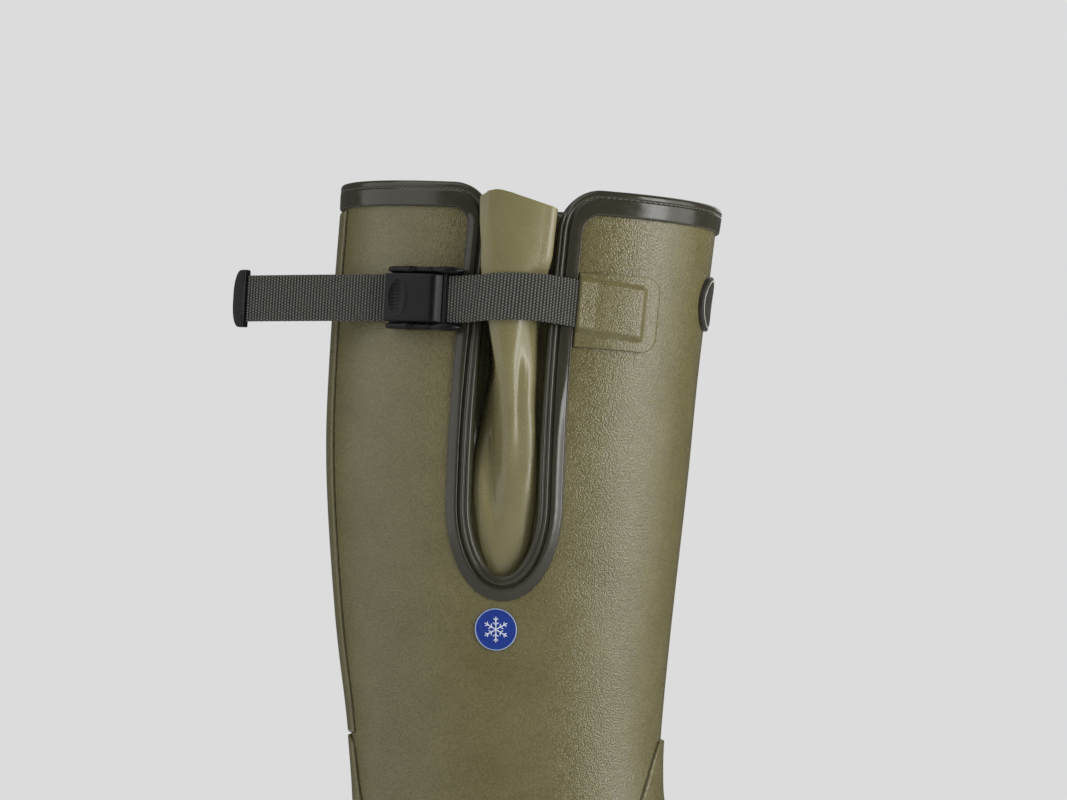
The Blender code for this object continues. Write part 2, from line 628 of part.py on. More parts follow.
def flat_caps(sides, first):
    """Faces across a sole ring, joining its outer and inner sides."""
    half = sides // 2
    faces = [(first, first + 1, first + sides - 1)]
    for k in range(1, half - 1):
        faces.append((first + k, first + k + 1, first + sides - k - 1, first + sides - k))
    return faces + [(first + half - 1, first + half, first + half + 1)]


def layered_sole(layers):
    """Body through stacked sole rings with its two flat sides closed across."""
    rings = np.array(layers)
    count, sides = rings.shape[:2]
    faces = grid_faces(count, sides, True)
    faces += flat_caps(sides, 0) + flat_caps(sides, (count - 1) * sides)
    return rings.reshape(-1, 3), faces


def add_lug_bars():
    """Bars of the tread, joined to the outsole: whole ones on the heel, split ones on the forefoot."""
    ring = sole_ring(SOLE_SIDE[0]["offset"] - LUG_INSET)
    half = len(ring) // 2
    outer, inner = ring[:half + 1], np.vstack((ring[:1], ring[:half - 1:-1]))
    reach = {-1.0: (outer[:, 0], outer[:, 1]), 1.0: (inner[:, 0], inner[:, 1])}
    blocks = []
    for k in range(HEEL_BARS["count"]):
        centre = HEEL_BARS["first"] + k * HEEL_BARS["pitch"]
        edge = np.array((centre - HEEL_BARS["length"] / 2.0, centre + HEEL_BARS["length"] / 2.0))
        blocks.append(((edge, np.interp(edge, *reach[-1.0])), (edge, np.interp(edge, *reach[1.0]))))
    for k in range(FORE_BARS["count"]):
        centre = FORE_BARS["first"] + k * FORE_BARS["pitch"]
        edge = np.array((centre - FORE_BARS["length"] / 2.0, centre + FORE_BARS["length"] / 2.0))
        for side in (-1.0, 1.0):
            middle = np.interp(edge, *reach[1.0]) + np.interp(edge, *reach[-1.0])
            split = middle / 2.0 + side * BAR_SPLIT
            tip = np.interp(edge, *reach[side])
            blocks.append(((edge + BAR_SLANT, split), (edge, tip)))
    points = []
    faces = []
    for (near_x, near_y), (far_x, far_y) in blocks:
        corners_x = np.array((near_x[0], near_x[1], far_x[1], far_x[0]))
        corners_y = np.array((near_y[0], near_y[1], far_y[1], far_y[0]))
        low = np.stack((corners_x, corners_y, floor_line(corners_x)), axis=1)
        high = np.stack((corners_x, corners_y, base_line(corners_x) + LUG_ROOT), axis=1)
        block_points, block_faces = sweep(np.array((low, high)), False)
        faces += [tuple(len(points) + i for i in face) for face in block_faces]
        points += block_points.tolist()
    return add_cutter("lug_bars", points, faces)


def add_outsole(material):
    """Moulded sole with heel, arch, toe spring, stepped side and lugs."""
    layers = []
    for layer in SOLE_SIDE:
        ring = sole_ring(layer["offset"])
        low = base_line(ring[:, 0])
        high = sole_line(ring[:, 0]) - GAP
        layers.append(np.column_stack((ring, low + layer["share"] * (high - low))))
    outsole = add_solid("outsole", *layered_sole(layers), material)
    combine(outsole, add_lug_bars(), "UNION")
    return outsole


def add_insole(material):
    """Inner sock on the outsole inside the wall."""
    ring = sole_ring(-WALL - INSOLE_CLEARANCE)
    low = np.column_stack((ring, sole_line(ring[:, 0])))
    high = np.column_stack((ring, sole_line(ring[:, 0]) + INSOLE_THICK))
    return add_solid("insole", *layered_sole((low, high)), material)


def add_disc(name, along, drop, radius, thick, material):
    """Round piece that lies on the shaft."""
    turn = np.arange(DISC_SIDES) * 2.0 * math.pi / DISC_SIDES
    rings = np.array(DISC_RINGS)[:, None]
    rounding = np.where(rings > DISC_RINGS[-2], DISC_ROUNDING, 0.0)
    spot_along = along + radius * rings * np.cos(turn)
    spot_drop = drop + radius * rings * np.sin(turn)
    outer = skin(spot_along, spot_drop, GAP + thick - rounding)
    inner = skin(spot_along, spot_drop, GAP)
    return add_solid(name, *shell(outer, inner, True, (-1,)), material)


def add_patch(material):
    """Patch over the fixed end of the strap, raised where the strap lies under it."""
    rise_foot = PATCH_RISE_END + PATCH_RISE_RUN
    over_strap = np.linspace(PATCH_BACK, PATCH_RISE_END, PATCH_COLUMNS["over_strap"])
    ahead = np.linspace(rise_foot, PATCH_FRONT, PATCH_COLUMNS["ahead"])
    columns = np.concatenate((over_strap, ahead))
    strap_drop = np.interp(-columns, -STRAP_ROUTE["along"], STRAP_ROUTE["drop"])
    strap_lift = np.interp(-columns, -STRAP_ROUTE["along"], STRAP_ROUTE["lift"])
    corner = PATCH_CORNER * (1.0 - np.cos(np.radians(PATCH_CORNER_TURNS)))
    raised = STRAP_WIDTH / 2.0 + np.array((PATCH_RISE_SIDE + PATCH_RISE_RUN, PATCH_RISE_SIDE))
    beside = np.concatenate((-raised, (0.0,), raised[::-1]))
    rows = [np.full(len(columns), PATCH_TOP + step) for step in corner]
    rows += [strap_drop + step for step in beside]
    rows += [np.full(len(columns), PATCH_FOOT - step) for step in corner[::-1]]
    drop = np.array(rows)
    beyond = np.maximum(PATCH_TOP + PATCH_CORNER - drop, drop - PATCH_FOOT + PATCH_CORNER)
    inset = PATCH_CORNER - np.sqrt(PATCH_CORNER ** 2 - np.clip(beyond, 0.0, PATCH_CORNER) ** 2)
    share = np.clip((columns - rise_foot) / (PATCH_FRONT - rise_foot), 0.0, 1.0)
    along = columns - share * inset
    high = np.isin(np.arange(len(rows)), len(corner) + np.arange(1, len(beside) - 1))
    raise_by = np.where(columns <= PATCH_RISE_END, strap_lift + STRAP_THICK / 2.0 + GAP, 0.0)
    lift = GAP + high[:, None] * raise_by
    outer = skin(along, drop, lift + PATCH_THICK)
    return add_solid("strap_patch", *shell(outer, skin(along, drop, lift), False), material)


def buckle_axes():
    """Seat of the buckle on the shaft and its axes: back along the strap, up the shaft, out."""
    front = skin(BUCKLE_FRONT["along"], BUCKLE_DROP, BUCKLE_FRONT["lift"])
    rear = skin(BUCKLE_REAR["along"], BUCKLE_DROP, BUCKLE_REAR["lift"])
    middle = 0.5 * (BUCKLE_FRONT["along"] + BUCKLE_REAR["along"])
    up = skin(middle, BUCKLE_DROP - 1.0, 0.0) - skin(middle, BUCKLE_DROP + 1.0, 0.0)
    back = (rear - front) / np.linalg.norm(rear - front)
    up -= back * (up @ back)
    up /= np.linalg.norm(up)
    return 0.5 * (front + rear), np.stack((back, up, np.cross(up, back)))


def by_buckle(local):
    """Points given by the buckle's own axes."""
    spot, axes = buckle_axes()
    return spot + np.asarray(local, dtype=float) @ axes


def add_buckle(frame_material, lever_material):
    """Cam buckle: a channel with two rails, and the closed lever over the strap."""
    half = BUCKLE_WIDTH / 2.0
    inner = half - BUCKLE_RAIL
    rings = []
    for at in FRAME_STATIONS:
        rail = at["rail"]
        section = ((-half, 0.0), (half, 0.0), (half, rail), (inner, rail), (inner, BUCKLE_BASE),
                   (-inner, BUCKLE_BASE), (-inner, rail), (-half, rail))
        rings.append([(at["back"], up, out) for up, out in section])
    add_solid("buckle_frame", *sweep(by_buckle(rings), False), frame_material)
    rings = []
    for at in LEVER_STATIONS:
        edge, crown = LEVER_HALF - LEVER_CHAMFER["up"], at["high"] - LEVER_CHAMFER["out"]
        section = ((-LEVER_HALF, at["low"]), (LEVER_HALF, at["low"]), (LEVER_HALF, crown),
                   (edge, at["high"]), (-edge, at["high"]), (-LEVER_HALF, crown))
        rings.append([(at["back"], up, out) for up, out in section])
    add_solid("buckle_lever", *sweep(by_buckle(rings), False), lever_material)


def strap_line():
    """Middle line of the strap and its width direction, from the patch to the end of the tail."""
    along, drop, lift = (STRAP_ROUTE[name] for name in STRAP_COLUMNS)
    on_boot = skin(along, drop, lift)
    upward = skin(along, drop - STRAP_WIDTH / 2.0, lift) - skin(along, drop + STRAP_WIDTH / 2.0, lift)
    back = np.linspace(FRAME_STATIONS[2]["back"], TAIL_END, TAIL_STATIONS)
    frame_end = FRAME_STATIONS[-1]["back"]
    free = np.clip((back - frame_end) / (TAIL_END - frame_end), 0.0, 1.0)
    tail = by_buckle(np.stack((back, -TAIL_DROOP * free, STRAP_SEAT - TAIL_BOW * free ** 2), axis=1))
    _, axes = buckle_axes()
    line = np.vstack((on_boot, tail))
    width = np.vstack((upward, np.repeat(axes[1:2], TAIL_STATIONS, axis=0)))
    return line, width / np.linalg.norm(width, axis=1, keepdims=True)


def add_strap(strap_material, tip_material):
    """Woven strap through the buckle, with the moulded tip on its tail."""
    line, width = strap_line()
    heading = np.gradient(line, axis=0)
    heading /= np.linalg.norm(heading, axis=1, keepdims=True)
    out = np.cross(width, heading)
    out /= np.linalg.norm(out, axis=1, keepdims=True)
    corners = ((-0.5, -0.5), (0.5, -0.5), (0.5, 0.5), (-0.5, 0.5))
    rings = np.stack([line + a * STRAP_WIDTH * width + b * STRAP_THICK * out for a, b in corners], axis=1)
    add_solid("strap", *sweep(rings, False), strap_material)
    wide, deep = TIP_CORNER["along"], TIP_CORNER["deep"]
    tip_section = ((-1.0, -deep), (-wide, -1.0), (wide, -1.0), (1.0, -deep),
                   (1.0, deep), (wide, 1.0), (-wide, 1.0), (-1.0, deep))
    rings = []
    for at in TIP_STATIONS:
        middle = line[-1] + at["back"] * heading[-1]
        spread = at["half"] * width[-1]
        depth = at["thick"] / 2.0 * out[-1]
        rings.append([middle + a * spread + b * depth for a, b in tip_section])
    add_solid("strap_tip", *sweep(np.array(rings), False), tip_material)


def build():
    """All pieces of the boot in the order in which they are put together."""
    for old in list(bpy.data.objects):
        bpy.data.objects.remove(old, do_unlink=True)
    rubber = finish("olive_rubber", "#6e6a54", 0.55)
    overlay = finish("olive_overlay_rubber", "#67634c", 0.5)
    edging = finish("dark_olive_edging", "#4b483f", 0.5)
    plastic = finish("black_plastic", "#29292b", 0.4)
    add_outsole(finish("dark_sole_rubber", "#3f3c32", 0.7))
    add_insole(finish("insole_felt", "#3a3a38", 0.9))
    add_upper(rubber)
    add_overlay("vamp_guard", GUARD_EDGE, GUARD_FOOT, overlay)
    add_overlay("heel_counter", COUNTER_EDGE, COUNTER_FOOT, overlay)
    add_back_strip(overlay)
    add_gusset(finish("gusset_rubber", "#757058", 0.45))
    add_binding(edging)
    add_strap(finish("grey_webbing", "#444540", 0.85), plastic)
    add_patch(overlay)
    add_buckle(plastic, plastic)
    badge_along = front_line(BADGE_DROP) + BADGE_SHIFT
    add_disc("front_badge", badge_along, BADGE_DROP, BADGE_RADIUS, BADGE_THICK, edging)
    add_disc("cold_label", LABEL_ALONG, LABEL_DROP, LABEL_RADIUS, LABEL_THICK,
             finish("blue_label", "#1d3f8f", 0.4))


build()
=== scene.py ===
import math

import bmesh
import bpy
import numpy as np
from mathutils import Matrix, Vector


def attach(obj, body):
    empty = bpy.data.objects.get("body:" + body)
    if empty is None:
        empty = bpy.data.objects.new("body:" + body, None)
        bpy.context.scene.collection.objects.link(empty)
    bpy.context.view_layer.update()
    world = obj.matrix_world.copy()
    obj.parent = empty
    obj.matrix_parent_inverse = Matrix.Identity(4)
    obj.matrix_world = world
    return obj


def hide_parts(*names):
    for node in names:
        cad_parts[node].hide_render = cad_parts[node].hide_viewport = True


# Rubber wellington boot with a neoprene lining, right foot. Sizes are in millimetres, the frame's axes
# hold: +X to the toe, +Y to the inner side of the foot, +Z up, origin on the floor under the heel.
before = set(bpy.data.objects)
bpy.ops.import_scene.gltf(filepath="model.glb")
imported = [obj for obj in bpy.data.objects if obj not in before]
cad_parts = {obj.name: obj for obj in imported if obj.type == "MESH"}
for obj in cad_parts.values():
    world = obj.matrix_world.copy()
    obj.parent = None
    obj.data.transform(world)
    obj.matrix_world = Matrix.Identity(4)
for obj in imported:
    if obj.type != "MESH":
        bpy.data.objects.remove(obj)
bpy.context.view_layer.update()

# Outsole
# The sole is one moulding of dark olive rubber: heel, arch, toe spring, a side with a groove and upright
# ribs, and bars for tread. It is vulcanised to the foot of the upper along the feather line.
MM = 0.001
WELD = 0.002
GAP = 0.3
FOOT_LENGTH = 300.0
BALL_WIDTH = 100.0
HEEL_HEIGHT = 28.0
INSTEP_HEIGHT = 148.0
COLLAR_HEIGHT = 414.0
HEEL_BACK = -34.0
BALL_DROP = {"depth": 13.0, "start": 0.20, "span": 0.42}
TOE_SPRING = {"rise": 9.0, "start": 0.72}
SPRING_LIMIT = 1.1

# Sections of the last from the feather line up to the collar. Lengths are shares of FOOT_LENGTH, rises run
# 0 to 1 up to the instep and 1 to 2 up to the collar, and widths are shares of BALL_WIDTH.
SECTION_COLUMNS = ("front", "front_rise", "back", "back_rise", "half_width", "widest",
                   "front_power", "back_power", "arch", "toe_in", "sole_dip")
SECTIONS = np.array((
    (0.993, -0.033, 0.013, 0.000, 0.490, 0.68, 2.50, 2.60, 0.20, 0.070, 1.00),
    (1.002, 0.088, 0.002, 0.117, 0.510, 0.68, 2.50, 2.60, 0.18, 0.070, 1.00),
    (0.960, 0.217, 0.000, 0.217, 0.500, 0.66, 2.50, 2.50, 0.14, 0.065, 0.80),
    (0.877, 0.317, 0.005, 0.300, 0.475, 0.60, 2.50, 2.40, 0.10, 0.055, 0.55),
    (0.767, 0.400, 0.013, 0.383, 0.450, 0.54, 2.45, 2.30, 0.06, 0.045, 0.30),
    (0.653, 0.508, 0.023, 0.475, 0.430, 0.50, 2.40, 2.20, 0.03, 0.035, 0.12),
    (0.560, 0.646, 0.031, 0.592, 0.420, 0.48, 2.30, 2.20, 0.01, 0.025, 0.00),
    (0.497, 0.825, 0.037, 0.742, 0.415, 0.47, 2.20, 2.15, 0.00, 0.015, 0.00),
    (0.473, 1.000, 0.037, 0.933, 0.420, 0.47, 2.15, 2.10, 0.00, 0.006, 0.00),
    (0.469, 1.075, 0.028, 1.060, 0.435, 0.47, 2.10, 2.10, 0.00, 0.000, 0.00),
    (0.473, 1.158, 0.020, 1.165, 0.455, 0.47, 2.10, 2.10, 0.00, 0.000, 0.00),
    (0.487, 1.315, 0.003, 1.330, 0.490, 0.47, 2.10, 2.10, 0.00, 0.000, 0.00),
    (0.510, 1.541, -0.010, 1.567, 0.530, 0.47, 2.10, 2.10, 0.00, 0.000, 0.00),
    (0.527, 1.728, -0.005, 1.762, 0.555, 0.48, 2.10, 2.10, 0.00, 0.000, 0.00),
    (0.555, 1.979, 0.012, 2.021, 0.570, 0.48, 2.10, 2.10, 0.00, 0.000, 0.00),
))
WAIST = {"at": 0.42, "spread": 0.13, "outer_share": 0.35}
TOE_IN_FROM = 0.55

LUG_DEPTH = 4.5
LUG_ROOT = 1.2
ARCH = {"clearance": 12.0, "breast": 39.0, "breast_run": 6.0, "end": 118.0, "run": 34.0}
SPRING_UNDER = {"rise": 13.0, "start": 186.0, "span": 84.0}
SOLE_STATIONS = 640
SOLE_ACROSS = 16
SOLE_SIDE = np.array((
    (2.4, 0.000), (3.5, 0.020), (4.5, 0.080), (4.8, 0.160), (4.8, 0.300), (4.8, 0.440), (4.5, 0.475),
    (3.5, 0.495), (3.2, 0.540), (3.5, 0.585), (4.3, 0.605), (4.6, 0.640), (4.6, 0.750), (4.6, 0.860),
    (4.3, 0.930), (3.6, 0.980), (2.8, 1.000),
))
SOLE_SIDE_ROWS = 49
SIDE_RIBS = {"pitch": 3.2, "depth": 0.4, "from": 0.66, "to": 0.84, "fade": 0.04}
HEEL_BARS = {"first": -21.0, "pitch": 21.0, "count": 3, "length": 14.0}
FORE_BARS = {"first": 112.0, "pitch": 18.5, "count": 8, "length": 10.5}
BAR_SLANT = 7.0
BAR_SPLIT = 3.5
LUG_INSET = 0.5
LUG_OFFSET = 3.2
LUG_CORNER_POWER = 9.0
LUG_SIDES = 48
LUG_RINGS = ((1.0, 3.0), (1.0, 1.0), (0.99, 0.4), (0.965, 0.08), (0.93, 0.0), (0.5, 0.0), (0.0, 0.0))


def smooth_step(share):
    """Ease from 0 to 1 with level ends."""
    share = np.clip(share, 0.0, 1.0)
    return share * share * (3.0 - 2.0 * share)


def unit(vectors):
    """Vectors brought to length one."""
    return vectors / np.linalg.norm(vectors, axis=-1, keepdims=True)


def travelled(points, axis=0):
    """Length of the way along lines of points, zero at the first of them."""
    start = np.take(points, [0], axis=axis)
    return np.cumsum(np.linalg.norm(np.diff(points, axis=axis, prepend=start), axis=-1), axis=axis)


def blunted(wave, power):
    """Sine or cosine raised to a power with its sign kept: two of them make a superellipse."""
    return np.sign(wave) * np.abs(wave) ** power


def height(rise):
    """Height of a rise: the foot up to 1, the shaft above it."""
    foot = HEEL_HEIGHT + rise * (INSTEP_HEIGHT - HEEL_HEIGHT)
    shaft = INSTEP_HEIGHT + (rise - 1.0) * (COLLAR_HEIGHT - INSTEP_HEIGHT)
    return np.where(rise <= 1.0, foot, shaft)


def sole_line(x):
    """Height of the feather line: level at the heel, eased down to the ball, a parabola up to the toe."""
    share = (x - HEEL_BACK) / FOOT_LENGTH
    drop = BALL_DROP["depth"] * smooth_step((share - BALL_DROP["start"]) / BALL_DROP["span"])
    ahead = (share - TOE_SPRING["start"]) / (1.0 - TOE_SPRING["start"])
    return HEEL_HEIGHT - drop + TOE_SPRING["rise"] * np.clip(ahead, 0.0, SPRING_LIMIT) ** 2


def blend_rows(table, at):
    """Smooth curve through the rows of a table, a cubic between each two, read at fractional rows."""
    table = np.vstack((2.0 * table[0] - table[1], table, 2.0 * table[-1] - table[-2]))
    at = np.atleast_1d(np.asarray(at, dtype=float))
    first = np.clip(np.floor(at).astype(int), 0, len(table) - 4)
    t = (at - first)[:, None]
    before, start, end, after = (table[first + step] for step in range(4))
    bend = 2.0 * before - 5.0 * start + 4.0 * end - after
    twist = 3.0 * (start - end) + after - before
    return start + 0.5 * t * (end - before + t * (bend + t * twist))


def smooth_rows(table, count):
    """A count of readings spread evenly over the smooth curve through a table's rows."""
    return blend_rows(table, np.linspace(0.0, len(table) - 1.0, count))


def outline(level, share, side):
    """Points of the last's sections: a superellipse ahead of and behind the widest point, drawn in at the
    waist, leaned to the inner side at the toe, and tilted from the back height to the front height."""
    row = dict(zip(SECTION_COLUMNS, blend_rows(SECTIONS, level).T[..., None]))
    ahead = np.clip((share - row["widest"]) / (1.0 - row["widest"]), 0.0, 1.0)
    behind = np.clip((row["widest"] - share) / row["widest"], 0.0, 1.0)
    front_breadth = (1.0 - ahead ** row["front_power"]) ** (1.0 / row["front_power"])
    back_breadth = (1.0 - behind ** row["back_power"]) ** (1.0 / row["back_power"])
    breadth = np.where(share >= row["widest"], front_breadth, back_breadth)
    waist = np.exp(-((share - WAIST["at"]) / WAIST["spread"]) ** 2)
    waist = waist * row["arch"] * np.where(side > 0, 1.0, WAIST["outer_share"])
    lean = row["toe_in"] * np.clip((share - TOE_IN_FROM) / (1.0 - TOE_IN_FROM), 0.0, 1.0) ** 2
    x = HEEL_BACK + FOOT_LENGTH * (row["back"] + share * (row["front"] - row["back"]))
    y = BALL_WIDTH * (side * row["half_width"] * breadth * (1.0 - waist) + lean)
    low, high = height(row["back_rise"]), height(row["front_rise"])
    feather = dict(zip(SECTION_COLUMNS, SECTIONS[0]))
    run = (x - HEEL_BACK) / FOOT_LENGTH - feather["back"]
    straight_share = run / (feather["front"] - feather["back"])
    straight = HEEL_HEIGHT + straight_share * (height(feather["front_rise"]) - HEEL_HEIGHT)
    z = low + share * (high - low) + row["sole_dip"] * (sole_line(x) - straight)
    return np.stack((x, y, z), axis=-1)


def sole_ring(offset):
    """Plan of the sole, the feather line moved out by an offset: heel, outer side, toe, inner side."""
    turn = np.linspace(0.0, math.pi, SOLE_STATIONS + 2)
    share = 0.5 - 0.5 * np.cos(turn)
    outer = outline(0.0, share, np.full(share.shape, -1.0))[0, :, :2]
    inner = outline(0.0, share, np.full(share.shape, 1.0))[0, :, :2]
    ring = np.vstack((outer, inner[-2:0:-1]))
    heading = unit(np.roll(ring, -1, axis=0) - np.roll(ring, 1, axis=0))
    offset = np.broadcast_to(offset, ring.shape[:1])[:, None]
    return ring + offset * np.stack((heading[:, 1], -heading[:, 0]), axis=1)


def floor_line(x):
    """Height of the bars' faces: zero at heel and ball, a parabola up to the toe."""
    ahead = (x - SPRING_UNDER["start"]) / SPRING_UNDER["span"]
    return SPRING_UNDER["rise"] * np.clip(ahead, 0.0, SPRING_LIMIT) ** 2


def base_line(x):
    """Height of the sole's underside between the bars, eased up to the arch and down again."""
    up = smooth_step((x - ARCH["breast"]) / ARCH["breast_run"])
    down = smooth_step((x - ARCH["end"] + ARCH["run"]) / ARCH["run"])
    return floor_line(x) + LUG_DEPTH + (ARCH["clearance"] - LUG_DEPTH) * up * (1.0 - down)


def two_sides(ring):
    """Outer and inner side of a sole ring, each from the heel to the toe."""
    half = len(ring) // 2
    return ring[:half + 1], np.vstack((ring[:1], ring[:half - 1:-1]))


def across_sole(ring, heights):
    """Grid from the outer to the inner side of a sole ring, straight across at each station."""
    outer, inner = two_sides(ring)
    share = np.linspace(0.0, 1.0, SOLE_ACROSS)[None, :, None]
    plan = outer[:, None, :] * (1.0 - share) + inner[:, None, :] * share
    return np.concatenate((plan, heights(plan[..., :1])), axis=-1)


def sole_side():
    """Side of the sole: the ring at each row's offset, with a wave of upright ribs on the upper band."""
    offset, share = smooth_rows(SOLE_SIDE, SOLE_SIDE_ROWS).T
    share = np.clip(share, 0.0, 1.0)
    wave = 0.5 - 0.5 * np.cos(2.0 * math.pi * travelled(sole_ring(0.0)) / SIDE_RIBS["pitch"])
    above = smooth_step((share - SIDE_RIBS["from"]) / SIDE_RIBS["fade"])
    band = above * smooth_step((SIDE_RIBS["to"] - share) / SIDE_RIBS["fade"])
    rows = []
    for out, up, ribbed in zip(offset, share, band):
        ring = sole_ring(out - SIDE_RIBS["depth"] * ribbed * wave)
        low = base_line(ring[:, 0])
        rows.append(np.column_stack((ring, low + up * (sole_line(ring[:, 0]) - GAP - low))))
    rows = np.array(rows)
    return np.concatenate((rows, rows[:, :1]), axis=1)


def bar_edges(row):
    """Rear and front edge of each bar in a row of the tread."""
    centre = row["first"] + np.arange(row["count"])[:, None] * row["pitch"]
    return centre + 0.5 * row["length"] * np.array((-1.0, 1.0))


def tread_bars():
    """Bars of the tread as rounded blocks: a superellipse spread over each bar's four corners, one ring
    above the other from its root down to its face."""
    outer, inner = two_sides(sole_ring(LUG_OFFSET - LUG_INSET))
    reach = {-1.0: outer.T, 1.0: inner.T}
    bars = []
    for edge in bar_edges(HEEL_BARS):
        bars.append((edge, np.interp(edge, *reach[-1.0]), edge, np.interp(edge, *reach[1.0])))
    for edge in bar_edges(FORE_BARS):
        middle = 0.5 * (np.interp(edge, *reach[1.0]) + np.interp(edge, *reach[-1.0]))
        for side in (-1.0, 1.0):
            bars.append((edge + BAR_SLANT, middle + side * BAR_SPLIT, edge, np.interp(edge, *reach[side])))
    turn = np.linspace(0.0, 2.0 * math.pi, LUG_SIDES + 1)
    across = blunted(np.cos(turn), 2.0 / LUG_CORNER_POWER)
    along = blunted(np.sin(turn), 2.0 / LUG_CORNER_POWER)
    grids = []
    for near_x, near_y, far_x, far_y in bars:
        near, far = np.column_stack((near_x, near_y)), np.column_stack((far_x, far_y))
        rings = []
        for scale, above in LUG_RINGS:
            u, v = scale * across[:, None], scale * along[:, None]
            near_side = 0.5 * ((1.0 - u) * near[0] + (1.0 + u) * near[1])
            far_side = 0.5 * ((1.0 - u) * far[0] + (1.0 + u) * far[1])
            plan = 0.5 * ((1.0 - v) * near_side + (1.0 + v) * far_side)
            rings.append(np.column_stack((plan, floor_line(plan[:, 0]) + above)))
        top = rings[0].copy()
        top[:, 2] = base_line(top[:, 0]) + LUG_ROOT
        crown = np.repeat(top.mean(axis=0)[None], len(top), axis=0)
        grids.append(np.array([crown, top] + rings))
    return grids


def add_piece(name, grids, finishes, sharp=40.0, marks=None, kinds=None):
    """Mesh through grids of points in mm: four neighbours make a face and equal points become one.
    marks are grids of two numbers, kept as the UV map, and kinds gives the finish of each grid."""
    places = []
    first = 0
    for grid in grids:
        rows, columns = grid.shape[:2]
        places.append(first + np.arange(rows * columns).reshape(rows, columns))
        first += rows * columns
    quads = []
    for place in places:
        ring = (place[:-1, :-1], place[:-1, 1:], place[1:, 1:], place[1:, :-1])
        quads.append(np.stack(ring, axis=-1).reshape(-1, 4))
    corners = np.concatenate(quads)
    points = np.concatenate([grid.reshape(-1, 3) for grid in grids]) * MM
    mesh = bpy.data.meshes.new(name)
    mesh.vertices.add(len(points))
    mesh.vertices.foreach_set("co", points.ravel())
    mesh.loops.add(corners.size)
    mesh.loops.foreach_set("vertex_index", corners.ravel())
    mesh.polygons.add(len(corners))
    mesh.polygons.foreach_set("loop_start", np.arange(0, corners.size, 4))
    if marks is not None:
        flat = np.concatenate([mark.reshape(-1, 2) for mark in marks])
        mesh.uv_layers.new(name="UVMap").data.foreach_set("uv", flat[corners.ravel()].ravel())
    if kinds is not None:
        mesh.polygons.foreach_set("material_index", np.repeat(kinds, [len(q) for q in quads]))
    mesh.update(calc_edges=True)
    work = bmesh.new()
    work.from_mesh(mesh)
    bmesh.ops.remove_doubles(work, verts=work.verts, dist=WELD * MM)
    bmesh.ops.recalc_face_normals(work, faces=work.faces)
    work.to_mesh(mesh)
    work.free()
    for finish in finishes:
        mesh.materials.append(finish)
    mesh.shade_smooth()
    mesh.set_sharp_from_angle(angle=math.radians(sharp))
    piece = bpy.data.objects.new(name, mesh)
    bpy.context.scene.collection.objects.link(piece)
    return piece


def linear(code):
    """Linear RGBA of an sRGB hex colour."""
    channels = [int(code[i:i + 2], 16) / 255.0 for i in (1, 3, 5)]
    return (*(c / 12.92 if c <= 0.04045 else ((c + 0.055) / 1.055) ** 2.4 for c in channels), 1.0)


def plug(node, inputs):
    """Fills a node's inputs: an output of another node is linked, any other value is written."""
    for name, value in inputs.items():
        if isinstance(value, bpy.types.NodeSocket):
            node.id_data.links.new(value, node.inputs[name])
        else:
            node.inputs[name].default_value = value
    return node


def add_node(finish, kind, inputs, **settings):
    """Adds a shader node to a finish with its own settings and its inputs, and returns its outputs."""
    node = finish.node_tree.nodes.new("ShaderNode" + kind)
    for name, value in settings.items():
        setattr(node, name, value)
    return plug(node, inputs).outputs


def start_finish(name, **constants):
    """New finish with its shader's constant values, and that shader."""
    finish = bpy.data.materials.new(name)
    finish.use_nodes = True
    return finish, plug(finish.node_tree.nodes["Principled BSDF"], constants)


